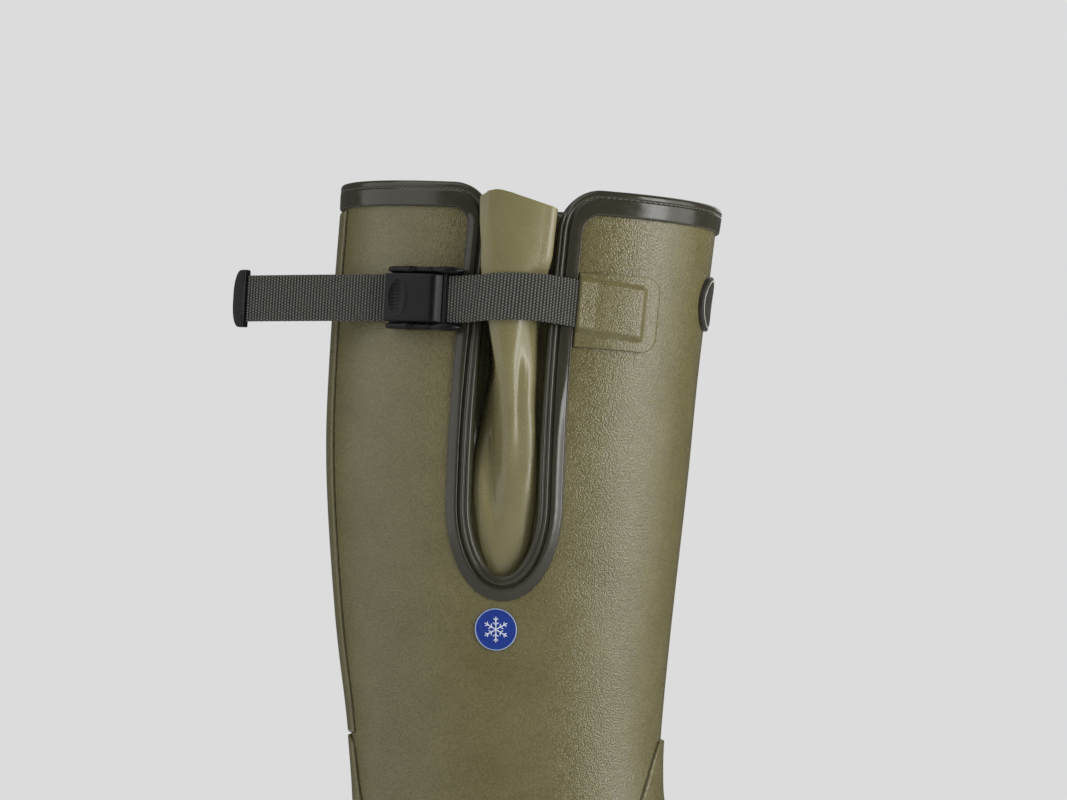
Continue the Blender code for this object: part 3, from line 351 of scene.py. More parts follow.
def moulded_rubber(name, pale, dark, grain, depth, roughness, mottle=22.0, painted_shade_width=0.0):
    """Rubber from a textured mould: domed pebbles with a finer roughness on them, painted shade in the
    grooves, darker the deeper they are, and a slow change of colour. grain, depth and mottle are the pebbles'
    width and height and the patches' size in mm. The last argument is the width of a band of painted shade
    along an edge or at the bottom of folds, where the piece's first mark is its distance from there."""
    finish, shader = start_finish(name, **{"IOR": 1.5})
    place = add_node(finish, "TexCoord", {})["Object"]
    drift = add_node(finish, "TexNoise", {"Vector": place, "Scale": 1.0 / (3.0 * grain * MM)})
    warp = add_node(finish, "VectorMath", {0: drift["Color"], 1: (1.2 * grain * MM,) * 3, 2: place},
                    operation="MULTIPLY_ADD")
    pebble = add_node(finish, "TexVoronoi", {
        "Vector": warp["Vector"], "Scale": 1.0 / (grain * MM), "Smoothness": 0.25}, feature="SMOOTH_F1")
    dome = add_node(finish, "MapRange", {
        "Value": pebble["Distance"], "From Max": 0.75, "To Min": 1.0, "To Max": 0.0})
    fine = add_node(finish, "TexNoise", {"Vector": place, "Scale": 1.0 / (0.7 * grain * MM), "Detail": 2.0})
    relief = add_node(finish, "Math", {0: fine["Fac"], 1: 0.8, 2: dome["Result"]}, operation="MULTIPLY_ADD")
    patch = add_node(finish, "TexNoise", {
        "Vector": place, "Scale": 1.0 / (mottle * MM), "Detail": 5.0, "Roughness": 0.6})
    tint = add_node(finish, "MapRange", {"Value": patch["Fac"], "From Min": 0.32, "From Max": 0.68})
    tone = add_node(finish, "Mix", {0: tint["Result"], 6: linear(dark), 7: linear(pale)}, data_type="RGBA")
    # Painted shade: the colour is darker in the grooves between the pebbles, the more so for a deeper grain.
    groove = add_node(finish, "MapRange", {
        "Value": relief["Value"], "From Min": 0.5, "From Max": 1.1, "To Min": 1.0 - 2.0 * depth})
    # Painted shade along the edges or at the bottom of folds: the colour falls to a quarter at the mark's
    # zero.
    if painted_shade_width:
        mark = add_node(finish, "UVMap", {})["UV"]
        away = add_node(finish, "SeparateXYZ", {"Vector": mark})["X"]
        painted_shade = add_node(finish, "MapRange", {"Value": away, "From Max": painted_shade_width, "To Min": 0.25})
        groove = add_node(finish, "Math", {0: groove["Result"], 1: painted_shade["Result"]}, operation="MULTIPLY")
    plug(shader, {
        "Base Color": add_node(finish, "Mix", {
            0: 1.0, 6: tone[2], 7: groove[0]}, data_type="RGBA", blend_type="MULTIPLY")[2],
        "Roughness": add_node(finish, "MapRange", {
            "Value": fine["Fac"], "From Min": 0.3, "From Max": 0.7,
            "To Min": roughness - 0.05, "To Max": roughness + 0.05})["Result"],
        "Normal": add_node(finish, "Bump", {
            "Height": relief["Value"], "Distance": depth * MM, "Strength": 1.0})["Normal"]})
    return finish


# Carbon-filled rubber is matt, with a fine dry grain from the mould.
sole_finish = moulded_rubber("moulded_sole_rubber", "#423e30", "#353226", grain=0.9, depth=0.05,
                             roughness=0.55)
sole_rings = [sole_ring(SOLE_SIDE[0, 0]), sole_ring(SOLE_SIDE[-1, 0])]
underside = across_sole(sole_rings[0], base_line)
seat = across_sole(sole_rings[1], lambda x: sole_line(x) - GAP)
outsole = add_piece("moulded_outsole", [sole_side(), underside, seat] + tread_bars(), [sole_finish])
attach(outsole, "root")
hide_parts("outsole")

# Insole
# A loose sock of felt covered with knitted jersey lies on the sole inside the wall, its rim turned up a
# little where the foot has pressed it into place.
WALL = 5.0
INSOLE_CLEARANCE = 0.7
INSOLE_RIM = ((0.0, 0.0), (0.0, 3.4), (0.5, 4.3), (1.4, 4.5), (2.8, 4.2), (6.0, 4.0))
# Width of one wave at scale 1, for waves straight up and for waves on the diagonal.
WAVE_WIDTH = {"Z": 0.314, "DIAGONAL": 0.222}


def dress(finish, shader, share, tones, relief, depth, strength):
    """Gives a shader a colour between two tones by a share, and a relief of a depth in mm."""
    tone = add_node(finish, "Mix", {0: share, 6: tones[0], 7: tones[1]}, data_type="RGBA")
    bump = add_node(finish, "Bump", {"Height": relief, "Distance": depth * MM, "Strength": strength})
    plug(shader, {"Base Color": tone[2], "Normal": bump["Normal"]})
    return finish


def jersey(name, pale, dark, loop):
    """Knitted jersey: rows of loops from two crossed waves, and fuzz from fine noise; loop is the width of
    one in mm."""
    finish, shader = start_finish(name, **{"Roughness": 0.92, "Sheen Weight": 0.25, "Sheen Roughness": 0.5})
    place = add_node(finish, "TexCoord", {})["Object"]
    rows = add_node(finish, "TexWave", {
        "Vector": place, "Scale": WAVE_WIDTH["Z"] / (loop * MM), "Distortion": 1.2, "Detail": 1.0},
        bands_direction="Z")
    loops = add_node(finish, "TexWave", {
        "Vector": place, "Scale": WAVE_WIDTH["DIAGONAL"] / (loop * MM), "Distortion": 0.8},
        bands_direction="DIAGONAL")
    weave = add_node(finish, "Math", {0: rows["Fac"], 1: loops["Fac"]}, operation="MULTIPLY")["Value"]
    fuzz = add_node(finish, "TexNoise", {"Vector": place, "Scale": 1.0 / (0.3 * loop * MM)})["Fac"]
    relief = add_node(finish, "Math", {0: fuzz, 1: 0.5, 2: weave}, operation="MULTIPLY_ADD")["Value"]
    return dress(finish, shader, relief, (linear(dark), linear(pale)), relief, 0.25, 0.8)


# Polyester jersey shows rows of loops about a millimetre wide and a faint sheen at the rim.
jersey_finish = jersey("knitted_jersey", "#55534b", "#33322d", loop=1.2)
rim_rings = []
for inset, rise in INSOLE_RIM:
    ring = sole_ring(-WALL - INSOLE_CLEARANCE - inset)
    rim_rings.append(np.column_stack((ring, sole_line(ring[:, 0]) + rise)))
rim_rings = np.array(rim_rings)
sock_rim = np.concatenate((rim_rings, rim_rings[:, :1]), axis=1)
sock_face = across_sole(rim_rings[-1, :, :2], lambda x: sole_line(x) + INSOLE_RIM[-1][1])
sock_back = across_sole(rim_rings[0, :, :2], sole_line)
insole = add_piece("insole_sock", [sock_rim, sock_face, sock_back], [jersey_finish])
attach(insole, "root")
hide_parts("insole")

# Upper
# Sheets of natural rubber are laid up by hand on the last over a neoprene lining and cured as one wall:
# foot and shaft in one, open at the collar and cut out in a deep U for the gusset on the outer side.
GUSSET_LINE = 0.535
TOP_LEVEL = len(SECTIONS) - 1
FINE_LEVELS = 421
FINE_AROUND = 720
FORM_LEVEL = np.linspace(0.0, TOP_LEVEL, FINE_LEVELS)
LOOP_READINGS = 4 * FINE_AROUND
OPEN_HALF = 16.5
OPEN_STRAIGHT = 132.0
OPEN_ROUND = 33.5
OPEN_CORNER = 16.0
UPPER_ROWS = 150
UPPER_COLUMNS = 300

# Soft creases where the ankle bends: height on the front or back line, fall to the sides, reach round the
# ankle, spread up and down, and lift, below zero for a trough.
CREASE_COLUMNS = ("line", "height", "fall", "reach", "spread", "lift")
ANKLE_CREASES = np.array((
    (1, 116.0, -0.10, 46.0, 6.0, -0.8), (1, 127.0, -0.16, 52.0, 5.5, 0.7), (1, 138.0, -0.22, 50.0, 6.0, -1.0),
    (1, 149.0, -0.24, 44.0, 5.0, 0.5), (0, 104.0, 0.10, 40.0, 6.0, 0.5), (0, 116.0, 0.14, 46.0, 6.5, -0.9),
    (0, 128.0, 0.18, 48.0, 6.0, 0.7), (0, 140.0, 0.20, 44.0, 6.5, -0.8), (0, 152.0, 0.22, 38.0, 6.0, 0.4),
))
# Soft creases where the forefoot flexes: place on the middle line, slant to the outer side, spread and lift.
FLEX_COLUMNS = ("x", "slant", "spread", "lift")
FLEX_CREASES = np.array((
    (146.0, 0.18, 5.0, 0.4), (155.0, 0.20, 5.0, -0.8), (164.5, 0.22, 4.5, 0.5), (173.0, 0.24, 5.0, -0.7),
    (182.0, 0.26, 5.0, 0.3),
))
FLEX_ABOVE_SOLE = 24.0
# The strap pulls the wall in beside the U: way from the middle where that starts and ends, depth and power,
# and the drop where it has faded out with the length of the fade.
ROLL_IN = {"from": 66.0, "to": 16.0, "depth": 3.5, "power": 1.5, "foot": 115.0, "run": 70.0}


def pulled_in(along, drop):
    """Depth of the pull beside the U: a power of the way towards the middle, faded out downward."""
    share = np.clip((ROLL_IN["from"] - np.abs(along)) / (ROLL_IN["from"] - ROLL_IN["to"]), 0.0, 1.0)
    fade = smooth_step((ROLL_IN["foot"] - drop) / ROLL_IN["run"])
    return ROLL_IN["depth"] * share ** ROLL_IN["power"] * fade


def creases(form, lengths):
    """Lift of the creases: a bell across each crease times a bell along it, added up, less the pull in."""
    travel = np.linspace(0.0, 1.0, FINE_AROUND + 1)[None, :] * lengths[:, None]
    ends = {1: form[..., 0].argmax(axis=1), 0: form[..., 0].argmin(axis=1)}
    lift = np.zeros(form.shape[:2])
    for row in ANKLE_CREASES:
        crease = dict(zip(CREASE_COLUMNS, row))
        start = np.take_along_axis(travel, ends[int(crease["line"])][:, None], axis=1)
        away = np.abs(travel - start)
        away = np.minimum(away, lengths[:, None] - away)
        up = form[..., 2] - crease["height"] - crease["fall"] * away
        lift += crease["lift"] * np.exp(-(up / crease["spread"]) ** 2 - (away / crease["reach"]) ** 2)
    on_top = smooth_step((form[..., 2] - sole_line(form[..., 0]) - FLEX_ABOVE_SOLE) / FLEX_ABOVE_SOLE)
    for row in FLEX_CREASES:
        crease = dict(zip(FLEX_COLUMNS, row))
        ahead = form[..., 0] - crease["x"] - crease["slant"] * form[..., 1]
        lift += crease["lift"] * on_top * np.exp(-(ahead / crease["spread"]) ** 2)
    return lift - pulled_in(np.minimum(travel, lengths[:, None] - travel), form[-1, 0, 2] - form[..., 2])


def normals_of(form):
    """Outward normals of a grid that closes on itself around."""
    around = np.roll(form[:, :-1], -1, axis=1) - np.roll(form[:, :-1], 1, axis=1)
    normal = unit(np.cross(around, np.gradient(form[:, :-1], axis=0)))
    return np.concatenate((normal, normal[:, :1]), axis=1)


def fine_form():
    """Outer form on a fine grid: each section cut into equal steps around from the gusset line to the toe,
    then moved along its normal by the creases."""
    turn = np.linspace(0.0, 2.0 * math.pi, LOOP_READINGS + 1) + math.asin(2.0 * GUSSET_LINE - 1.0)
    loops = outline(FORM_LEVEL, 0.5 + 0.5 * np.sin(turn), np.where(np.cos(turn) >= 0.0, -1.0, 1.0))
    lengths = travelled(loops, axis=1)
    even = np.linspace(0.0, 1.0, FINE_AROUND + 1)
    form = np.array([[np.interp(even * length[-1], length, axis) for axis in loop.T]
                     for loop, length in zip(loops, lengths)]).transpose(0, 2, 1)
    form = form + creases(form, lengths[:, -1])[..., None] * normals_of(form)
    return form, normals_of(form), lengths[:, -1]


FORM, FORM_NORMAL, PERIMETER = fine_form()
COLLAR_LENGTH = PERIMETER[-1]
GUSSET_DROP = FORM[-1, 0, 2] - FORM[:, 0, 2]


def read_grid(grid, level, around):
    """Bilinear reading of a fine grid at levels and shares around."""
    row = np.clip(level / TOP_LEVEL, 0.0, 1.0) * (FINE_LEVELS - 1)
    column = np.mod(around, 1.0) * FINE_AROUND
    low = np.clip(np.floor(row).astype(int), 0, FINE_LEVELS - 2)
    left = np.clip(np.floor(column).astype(int), 0, FINE_AROUND - 1)
    up = (row - low)[..., None]
    on = (column - left)[..., None]
    lower = grid[low, left] * (1.0 - on) + grid[low, left + 1] * on
    upper = grid[low + 1, left] * (1.0 - on) + grid[low + 1, left + 1] * on
    return lower * (1.0 - up) + upper * up


def on_form(level, around, lift):
    """Points of the outer form, moved out along its normal by lift."""
    level, around, lift = np.broadcast_arrays(level, around, lift)
    return read_grid(FORM, level, around) + lift[..., None] * read_grid(FORM_NORMAL, level, around)


def level_at(drop):
    """Level of a drop below the collar, measured on the gusset line."""
    return np.interp(drop, GUSSET_DROP[::-1], FORM_LEVEL[::-1])


def open_half(drop):
    """Half width of the U at a drop: a quarter round at the top, straight sides, half an ellipse below."""
    corner = np.clip((OPEN_CORNER - drop) / OPEN_CORNER, 0.0, 1.0)
    below = np.clip((drop - OPEN_STRAIGHT) / OPEN_ROUND, 0.0, 1.0)
    return OPEN_HALF * np.sqrt(1.0 - below ** 2) + OPEN_CORNER * (1.0 - np.sqrt(1.0 - corner ** 2))


OLIVE = ("#7e7751", "#746d47")
OLIVE_GRAIN = 0.78
# Cured rubber takes the mould's leather grain: satin, olive, with pebbles that sparkle in the highlight.
shaft_finish = moulded_rubber("grained_olive_rubber", *OLIVE, OLIVE_GRAIN, depth=0.13, roughness=0.12)
upper_level = np.linspace(0.0, TOP_LEVEL, UPPER_ROWS)
opening = open_half(np.interp(upper_level, FORM_LEVEL, GUSSET_DROP))
opening = (opening / np.interp(upper_level, FORM_LEVEL, PERIMETER))[:, None]
upper_around = opening + np.linspace(0.0, 1.0, UPPER_COLUMNS)[None, :] * (1.0 - 2.0 * opening)
skin_side = on_form(upper_level[:, None], upper_around, 0.0)
lining_side = on_form(upper_level[:, None], upper_around, -WALL)
lining_side[[0, -1], :, 2] = skin_side[[0, -1], :, 2]
cut_rows = opening[:, 0] > 0.0
cut_rows[np.argmax(cut_rows) - 1] = True
rims = [np.stack((skin_side[row], lining_side[row])) for row in (0, -1)]
rims += [np.stack((skin_side[cut_rows, edge], lining_side[cut_rows, edge])) for edge in (0, -1)]
upper = add_piece("rubber_upper", [skin_side, lining_side] + rims, [shaft_finish, jersey_finish],
                  kinds=(0, 1, 0, 1, 0, 0))
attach(upper, "root")
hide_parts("upper")

# Vamp guard, heel counter and back strip
# Three overlays of sheet rubber are laid on the foot and over the back seam and cured onto the wall. Their
# edges are rolled down, so each shows as a rounded step with a dark line of painted shadow at its foot.
OVERLAY_THICK = 1.6
OVERLAY_ROUND = 1.7
OVERLAY_SINK = 0.3
GUARD_EDGE = np.array(((113.0, 188.0), (109.5, 186.0), (107.0, 181.0), (104.5, 172.0), (101.5, 160.0),
                       (97.5, 147.0), (89.0, 122.0), (81.0, 90.0), (75.0, 55.0), (73.0, 14.0)))
COUNTER_EDGE = np.array(((-26.5, 183.5), (-23.5, 178.0), (-21.0, 162.0), (-17.5, 148.0), (-6.0, 122.0),
                         (12.0, 88.0), (28.0, 52.0), (36.0, 14.0)))
EDGE_READINGS = 160
SHARE_READINGS = 700
GUARD_GRID = (104, 180)
COUNTER_GRID = (90, 130)
STRIP_GRID = (120, 60)
STRIP_HALF = 22.5
STRIP_THICK = 1.4
STRIP_TOP = 9.2
STRIP_CLEARANCE = 0.4


def edge_x(edge, z):
    """Place forward of an edge curve at a height."""
    x, up = smooth_rows(edge, EDGE_READINGS).T
    return np.interp(z, up[::-1], x[::-1])


def crossing(levels, start, end, edge, ahead):
    """Share around where each level leaves an overlay: the first reading on the way from start to end that
    lies past the edge, moved back in proportion to the point where it crosses."""
    way = np.linspace(0.0, 1.0, SHARE_READINGS)[None, :]
    around = start[:, None] + way * (end - start)[:, None]
    spots = on_form(levels[:, None], around, 0.0)
    within = (spots[..., 0] - edge_x(edge, spots[..., 2])) * ahead
    last = np.clip(np.argmax(within < 0.0, axis=1), 1, None)[:, None]
    after = np.take_along_axis(within, last, axis=1)
    before = np.take_along_axis(within, last - 1, axis=1)
    share = np.clip(before / (before - after), 0.0, 1.0)
    here = np.take_along_axis(around, last - 1, axis=1)
    return (here + share * (np.take_along_axis(around, last, axis=1) - here))[:, 0]


def crowded(count):
    """Steps from 0 to 1 that are close together at both ends, half a cosine wave."""
    return 0.5 - 0.5 * np.cos(np.linspace(0.0, math.pi, count))


def laid_panel(levels, first, last, columns, thick, relief=0.0):
    """Sheet laid on the form between two shares of each level. Its face stands thick above the wall and
    rolls down as a quarter round within OVERLAY_ROUND of its edges; its back is sunk in the wall. Each
    point is marked with its distance from the edge."""
    level = levels[:, None]
    around = first[:, None] + crowded(columns)[None, :] * (last - first)[:, None]
    flat = on_form(level, around, 0.0)
    across, up = travelled(flat, axis=1), travelled(flat)
    inside = np.minimum(np.minimum(across, across[:, -1:] - across), np.minimum(up, up[-1:] - up))
    roll = np.sqrt(1.0 - (1.0 - np.clip(inside / OVERLAY_ROUND, 0.0, 1.0)) ** 2)
    lift = roll * (thick + OVERLAY_SINK + relief) - OVERLAY_SINK
    marks = np.stack((inside, 0.0 * inside), axis=-1)
    return [on_form(level, around, lift), on_form(level, around, -OVERLAY_SINK)], [marks, marks]


def foot_overlay(top, grid, edge, starts, ends, turns, ahead):
    """Overlay from the feather line up to a top level: on each level it is laid from one line of shares both
    ways round towards another, until it meets its edge."""
    levels = top * crowded(grid[0])
    start, end = np.interp(levels, FORM_LEVEL, starts), np.interp(levels, FORM_LEVEL, ends)
    sides = [crossing(levels, start, end + turn, edge, ahead) for turn in turns]
    return laid_panel(levels, *sides, grid[1], OVERLAY_THICK)


front_column, back_column = FORM[..., 0].argmax(axis=1), FORM[..., 0].argmin(axis=1)
FRONT_SHARE, BACK_SHARE = front_column / FINE_AROUND, back_column / FINE_AROUND
front_line = FORM[np.arange(FINE_LEVELS), front_column]
back_line = FORM[np.arange(FINE_LEVELS), back_column]
# The same sheet as the shaft, a little duller, with a dark line of painted shadow along its edges.
overlay_finish = moulded_rubber("grained_overlay_rubber", *OLIVE, OLIVE_GRAIN, depth=0.13, roughness=0.14,
                                painted_shade_width=0.5)

shows = (front_line[:, 0] > edge_x(GUARD_EDGE, front_line[:, 2])) & (front_line[:, 2] < GUARD_EDGE[0, 1])
guard_top = FORM_LEVEL[len(shows) - 1 - np.argmax(shows[::-1])]
guard_grids, guard_marks = foot_overlay(guard_top, GUARD_GRID, GUARD_EDGE, FRONT_SHARE, BACK_SHARE,
                                        turns=(-1.0, 0.0), ahead=1.0)
guard = add_piece("vamp_guard_overlay", guard_grids, [overlay_finish], sharp=70.0, marks=guard_marks)
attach(guard, "root")
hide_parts("vamp_guard")

counter_top = np.interp(COUNTER_EDGE[0, 1], back_line[:, 2], FORM_LEVEL)
counter_grids, counter_marks = foot_overlay(counter_top, COUNTER_GRID, COUNTER_EDGE, BACK_SHARE, FRONT_SHARE,
                                            turns=(0.0, 1.0), ahead=-1.0)
counter = add_piece("heel_counter_overlay", counter_grids, [overlay_finish], sharp=70.0, marks=counter_marks)
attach(counter, "root")
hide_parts("heel_counter")

strip_top = level_at(STRIP_TOP)
strip_foot = np.interp(COUNTER_EDGE[0, 1] + STRIP_CLEARANCE, back_line[:, 2], FORM_LEVEL)
strip_level = strip_foot + crowded(STRIP_GRID[0]) * (strip_top - strip_foot)
strip_middle = np.full(STRIP_GRID[0], np.interp(strip_top, FORM_LEVEL, BACK_SHARE))
strip_reach = STRIP_HALF / COLLAR_LENGTH
strip_grids, strip_marks = laid_panel(strip_level, strip_middle - strip_reach, strip_middle + strip_reach,
                                      STRIP_GRID[1], STRIP_THICK)
strip = add_piece("back_seam_strip", strip_grids, [overlay_finish], sharp=70.0, marks=strip_marks)
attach(strip, "root")
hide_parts("back_strip")

# Gusset
# A bellows of thin rubberised cloth fills the U: its flange is bonded inside the wall, and the slack cloth
# stands forward in one broad fold under the strap, which runs out into two soft ridges at the foot.
GUSSET_THICK = 1.6
GUSSET_FLANGE = 6.0
GUSSET_FLANGE_END = 0.985
# Depth of the flange, with a film of cement on the wall, and its rows as shares of its half width.
CEMENT = 0.6
GUSSET_SEAT = WALL + CEMENT + GUSSET_THICK / 2.0
FLANGE_SHARES = (-1.0, -0.86, 0.86, 1.0)
# Cross-sections of the cloth down the opening: drop, then way along and lift of the back valley, the back
# wall, the rolled back edge, the crown, the ridge on its front side and the front wall and valley.
GUSSET_FOLDS = np.array((
    (1.5, -11.5, -8.5, -12.6, -1.0, -14.4, 3.7, -19.0, 4.2, -18.0, 5.4, -12.0, 6.3, -5.0, 6.3, 2.0, 5.6,
     8.2, 3.9, 12.4, 2.1, 11.9, -1.8, 10.8, -8.6),
    (14.0, -11.5, -8.8, -12.4, -1.0, -13.8, 3.8, -18.0, 4.3, -17.0, 5.5, -11.5, 6.4, -5.0, 6.5, 2.0, 5.8,
     8.0, 4.0, 12.2, 2.1, 11.7, -2.0, 10.8, -8.9),
    (29.0, -11.4, -9.2, -12.0, -1.0, -12.8, 3.6, -15.9, 4.0, -15.2, 5.2, -10.5, 6.3, -4.5, 6.6, 1.4, 5.8,
     7.0, 3.9, 11.9, 1.6, 11.2, -2.4, 10.8, -9.4),
    (38.0, -11.4, -9.5, -11.8, -1.2, -12.2, 2.8, -14.4, 3.3, -13.6, 4.4, -9.5, 5.4, -3.6, 5.7, 1.4, 4.8,
     5.2, 2.6, 9.0, 0.2, 11.0, -2.6, 10.8, -8.6),
    (50.0, -11.8, -10.4, -11.0, -2.2, -10.8, 1.6, -11.6, 2.8, -10.8, 4.0, -7.0, 5.0, -2.2, 5.4, 1.1, 4.8,
     3.8, 3.2, 6.0, 0.8, 8.0, -2.4, 11.0, -7.6),
    (62.0, -11.8, -11.6, -9.6, -6.6, -8.8, -1.4, -8.9, 2.0, -8.1, 3.5, -5.4, 4.6, -2.0, 5.0, 0.9, 4.4,
     3.4, 2.9, 5.8, 0.6, 8.0, -2.4, 11.0, -7.2),
    (76.0, -11.8, -11.8, -8.6, -9.8, -6.8, -5.0, -5.9, 0.4, -5.1, 2.6, -3.2, 4.0, -0.8, 4.5, 1.2, 4.0,
     3.4, 2.6, 6.2, 1.8, 8.8, 0.1, 11.6, -5.6),
    (89.0, -12.8, -11.4, -10.8, -10.0, -8.8, -8.0, -6.6, -5.8, -4.8, -2.6, -3.2, 0.6, -0.8, 2.6, 1.6, 2.7,
     4.0, 1.7, 6.9, 1.4, 9.4, -0.1, 12.2, -5.6),
    (102.0, -13.8, -10.2, -12.0, -8.6, -10.2, -7.2, -8.0, -6.4, -5.8, -5.4, -3.4, -2.2, -0.8, 0.5, 1.8, 1.9,
     5.0, 0.7, 8.3, 0.4, 11.0, -1.2, 13.4, -5.8),
    (114.0, -14.8, -7.6, -13.0, -6.2, -11.0, -5.2, -8.8, -4.8, -6.0, -5.3, -3.2, -3.1, -0.8, -0.5, 2.0, 0.7,
     5.7, -0.1, 9.2, -0.7, 11.8, -2.2, 14.4, -5.4),
    (127.0, -14.8, -5.6, -12.8, -4.2, -10.4, -3.3, -7.8, -4.0, -5.4, -4.0, -2.8, -2.2, 0.2, -0.8, 3.6, -0.4,
     7.2, -0.6, 10.3, -1.8, 12.6, -3.6, 14.4, -5.6),
    (140.0, -13.2, -5.2, -11.2, -3.8, -8.8, -3.1, -6.6, -2.9, -4.4, -2.9, -2.0, -2.4, 0.8, -1.8, 4.0, -1.7,
     7.0, -2.2, 9.6, -3.4, 11.7, -4.7, 13.4, -5.9),
    (152.0, -10.8, -5.4, -9.2, -4.5, -7.2, -4.0, -5.4, -3.6, -3.6, -3.4, -1.8, -3.3, 0.6, -3.2, 3.4, -3.3,
     6.2, -3.6, 8.4, -4.2, 9.9, -5.0, 11.0, -6.0),
    (163.0, -6.0, -5.6, -4.9, -5.2, -3.8, -5.0, -2.8, -4.9, -1.9, -4.8, -1.0, -4.8, 0.0, -4.8, 1.2, -4.9,
     2.4, -5.0, 3.6, -5.2, 4.8, -5.5, 6.0, -5.9),
    (174.0, -2.0, -6.0, -1.6, -5.9, -1.2, -5.9, -0.9, -5.9, -0.6, -5.9, -0.3, -5.9, 0.0, -5.9, 0.4, -5.9,
     0.8, -5.9, 1.2, -5.9, 1.6, -5.9, 2.0, -6.0),
))
GUSSET_GRID = (172, 165)
# Top edge of the cloth from the back to the front: way from the middle and drop below the collar.
GUSSET_TOP = np.array(((-20.5, 5.6), (-19.0, 3.8), (-16.5, 2.0), (-12.5, 0.9), (-10.0, 1.0), (-6.0, 1.9),
                       (-2.0, 3.1), (8.7, 6.0), (11.3, 6.5), (12.6, 7.4), (13.4, 9.0), (20.0, 12.0)))
GUSSET_TOP_RUN = 34.0
# Painted shade darkens the cloth's colour from the bottom of the folds up to the second height.
GUSSET_PAINTED_SHADE = (-10.5, -4.0)
NEAR_GUSSET = 60.0


def skin(along, drop, lift):
    """Points of the shaft: along from the gusset line to the front, drop from the collar, lift outward.
    Far from the gusset the way along becomes a share of the collar, so that lines follow the boot."""
    along, drop, lift = np.broadcast_arrays(*(np.asarray(v, dtype=float) for v in (along, drop, lift)))
    level = level_at(drop)
    length = np.interp(level, FORM_LEVEL, PERIMETER)
    far = smooth_step((np.abs(along) - NEAR_GUSSET) / NEAR_GUSSET)
    points = on_form(level, along / (length + far * (COLLAR_LENGTH - length)), lift)
    points[..., 2] += np.maximum(-drop, 0.0)
    return points


def gusset_sheet():
    """Middle surface of the gusset: smooth cross-sections down the opening between two flanges under the
    wall, drawn down at the top edge; the slack between the flanges stands clear of the pull on the wall.
    Each point is marked with its height above the bottom of the folds, which sets its painted shade."""
    rows, across = GUSSET_GRID
    folds = smooth_rows(GUSSET_FOLDS, rows)
    place = np.linspace(0.0, GUSSET_FOLDS.shape[1] // 2 + len(FLANGE_SHARES) - 1.0, across)
    sections = []
    for fold in folds:
        wide = np.clip((fold[0] - OPEN_STRAIGHT) / (OPEN_ROUND + GUSSET_FLANGE), 0.0, GUSSET_FLANGE_END)
        flange = (OPEN_HALF + GUSSET_FLANGE) * math.sqrt(1.0 - wide ** 2)
        seat = [(share * flange, -GUSSET_SEAT) for share in FLANGE_SHARES]
        sections.append(blend_rows(np.vstack((seat[:2], fold[1:].reshape(-1, 2), seat[2:])), place))
    along, lift = np.moveaxis(np.array(sections), -1, 0)
    drop = folds[:, :1]
    top = np.interp(along, *GUSSET_TOP.T) - drop[0]
    slack = smooth_step((np.minimum(place, place[::-1]) - 1.0) / 2.0)
    points = skin(along, drop + top * (1.0 - smooth_step(drop / GUSSET_TOP_RUN)),
                  lift + slack * pulled_in(along, drop))
    return points, np.stack((lift - GUSSET_PAINTED_SHADE[0], 0.0 * lift), axis=-1)


def close_edges(out, back):
    """The two faces of a sheet and the four strips that join their edges."""
    strips = [np.stack((out[row], back[row])) for row in (0, -1)]
    return [out, back] + strips + [np.stack((out[:, column], back[:, column])) for column in (0, -1)]


def thicken(sheet, thick):
    """Closed body around a sheet: its two faces, half the thickness to each side, and the edges between."""
    normal = unit(np.cross(np.gradient(sheet, axis=1), np.gradient(sheet, axis=0)))
    return close_edges(sheet + 0.5 * thick * normal, sheet - 0.5 * thick * normal)


# Rubber-coated cloth is smoother and a little glossier than the shaft, with painted shade in its folds.
gusset_finish = moulded_rubber("rubberised_gusset_cloth", "#8a835d", "#817a55", grain=0.9, depth=0.03,
                               roughness=0.25, mottle=30.0, painted_shade_width=GUSSET_PAINTED_SHADE[1] - GUSSET_PAINTED_SHADE[0])
gusset_cloth, gusset_mark = gusset_sheet()
gusset = add_piece("gusset_bellows", thicken(gusset_cloth, GUSSET_THICK), [gusset_finish],
                   marks=close_edges(gusset_mark, gusset_mark))
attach(gusset, "root")
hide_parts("gusset")

# Binding and its stitches
# An extruded strip of dark rubber edges the collar and the U in one closed loop: a flat band on the wall,
# a groove and a bead beside the U, a stitched line along the collar, and a leg turned over to the inside.
PROFILE_READINGS = 82
# Section of the strip as a closed line: reach onto the wall and lift, beside the U and at the collar.
BINDING_COLUMNS = ("reach", "lift", "collar_reach", "collar_lift")
BINDING_PROFILE = np.array((
    (8.6, -0.15, 8.6, -0.15), (8.6, 0.2, 8.6, 0.75), (8.42, 0.62, 8.35, 1.4), (7.85, 0.72, 7.6, 1.62),
    (6.9, 1.2, 6.6, 1.68), (5.7, 1.76, 5.2, 1.74), (4.4, 2.08, 3.2, 1.8), (3.5, 1.95, 1.8, 1.8),
    (3.05, 1.1, 1.3, 1.5), (2.6, 0.98, 0.85, 1.42), (2.25, 1.5, 0.4, 1.65), (1.8, 2.35, -0.1, 1.75),
    (1.25, 2.7, -0.6, 1.72), (0.7, 2.5, -1.1, 1.62), (0.35, 2.0, -1.5, 1.44), (-0.05, 1.95, -1.85, 1.16),
    (-0.55, 2.35, -2.1, 0.75), (-1.2, 2.25, -2.25, 0.2), (-1.85, 1.4, -2.3, -1.2), (-2.2, 0.2, -2.3, -2.8),
    (-2.25, -1.6, -1.9, -4.6), (-2.1, -3.2, -0.6, -6.0), (-1.3, -3.75, 1.6, -6.5), (-0.5, -3.4, 6.5, -6.5),
    (-0.4, -1.6, 8.2, -5.9), (-0.4, -0.4, 8.0, -4.6), (2.0, -0.3, 4.0, -2.0),
))
EDGE_STATIONS = {"foot": 40, "side": 60, "corner": 16, "collar": 220}
QUARTER_TURN = 90.0
COLLAR_BLEND = 14.0
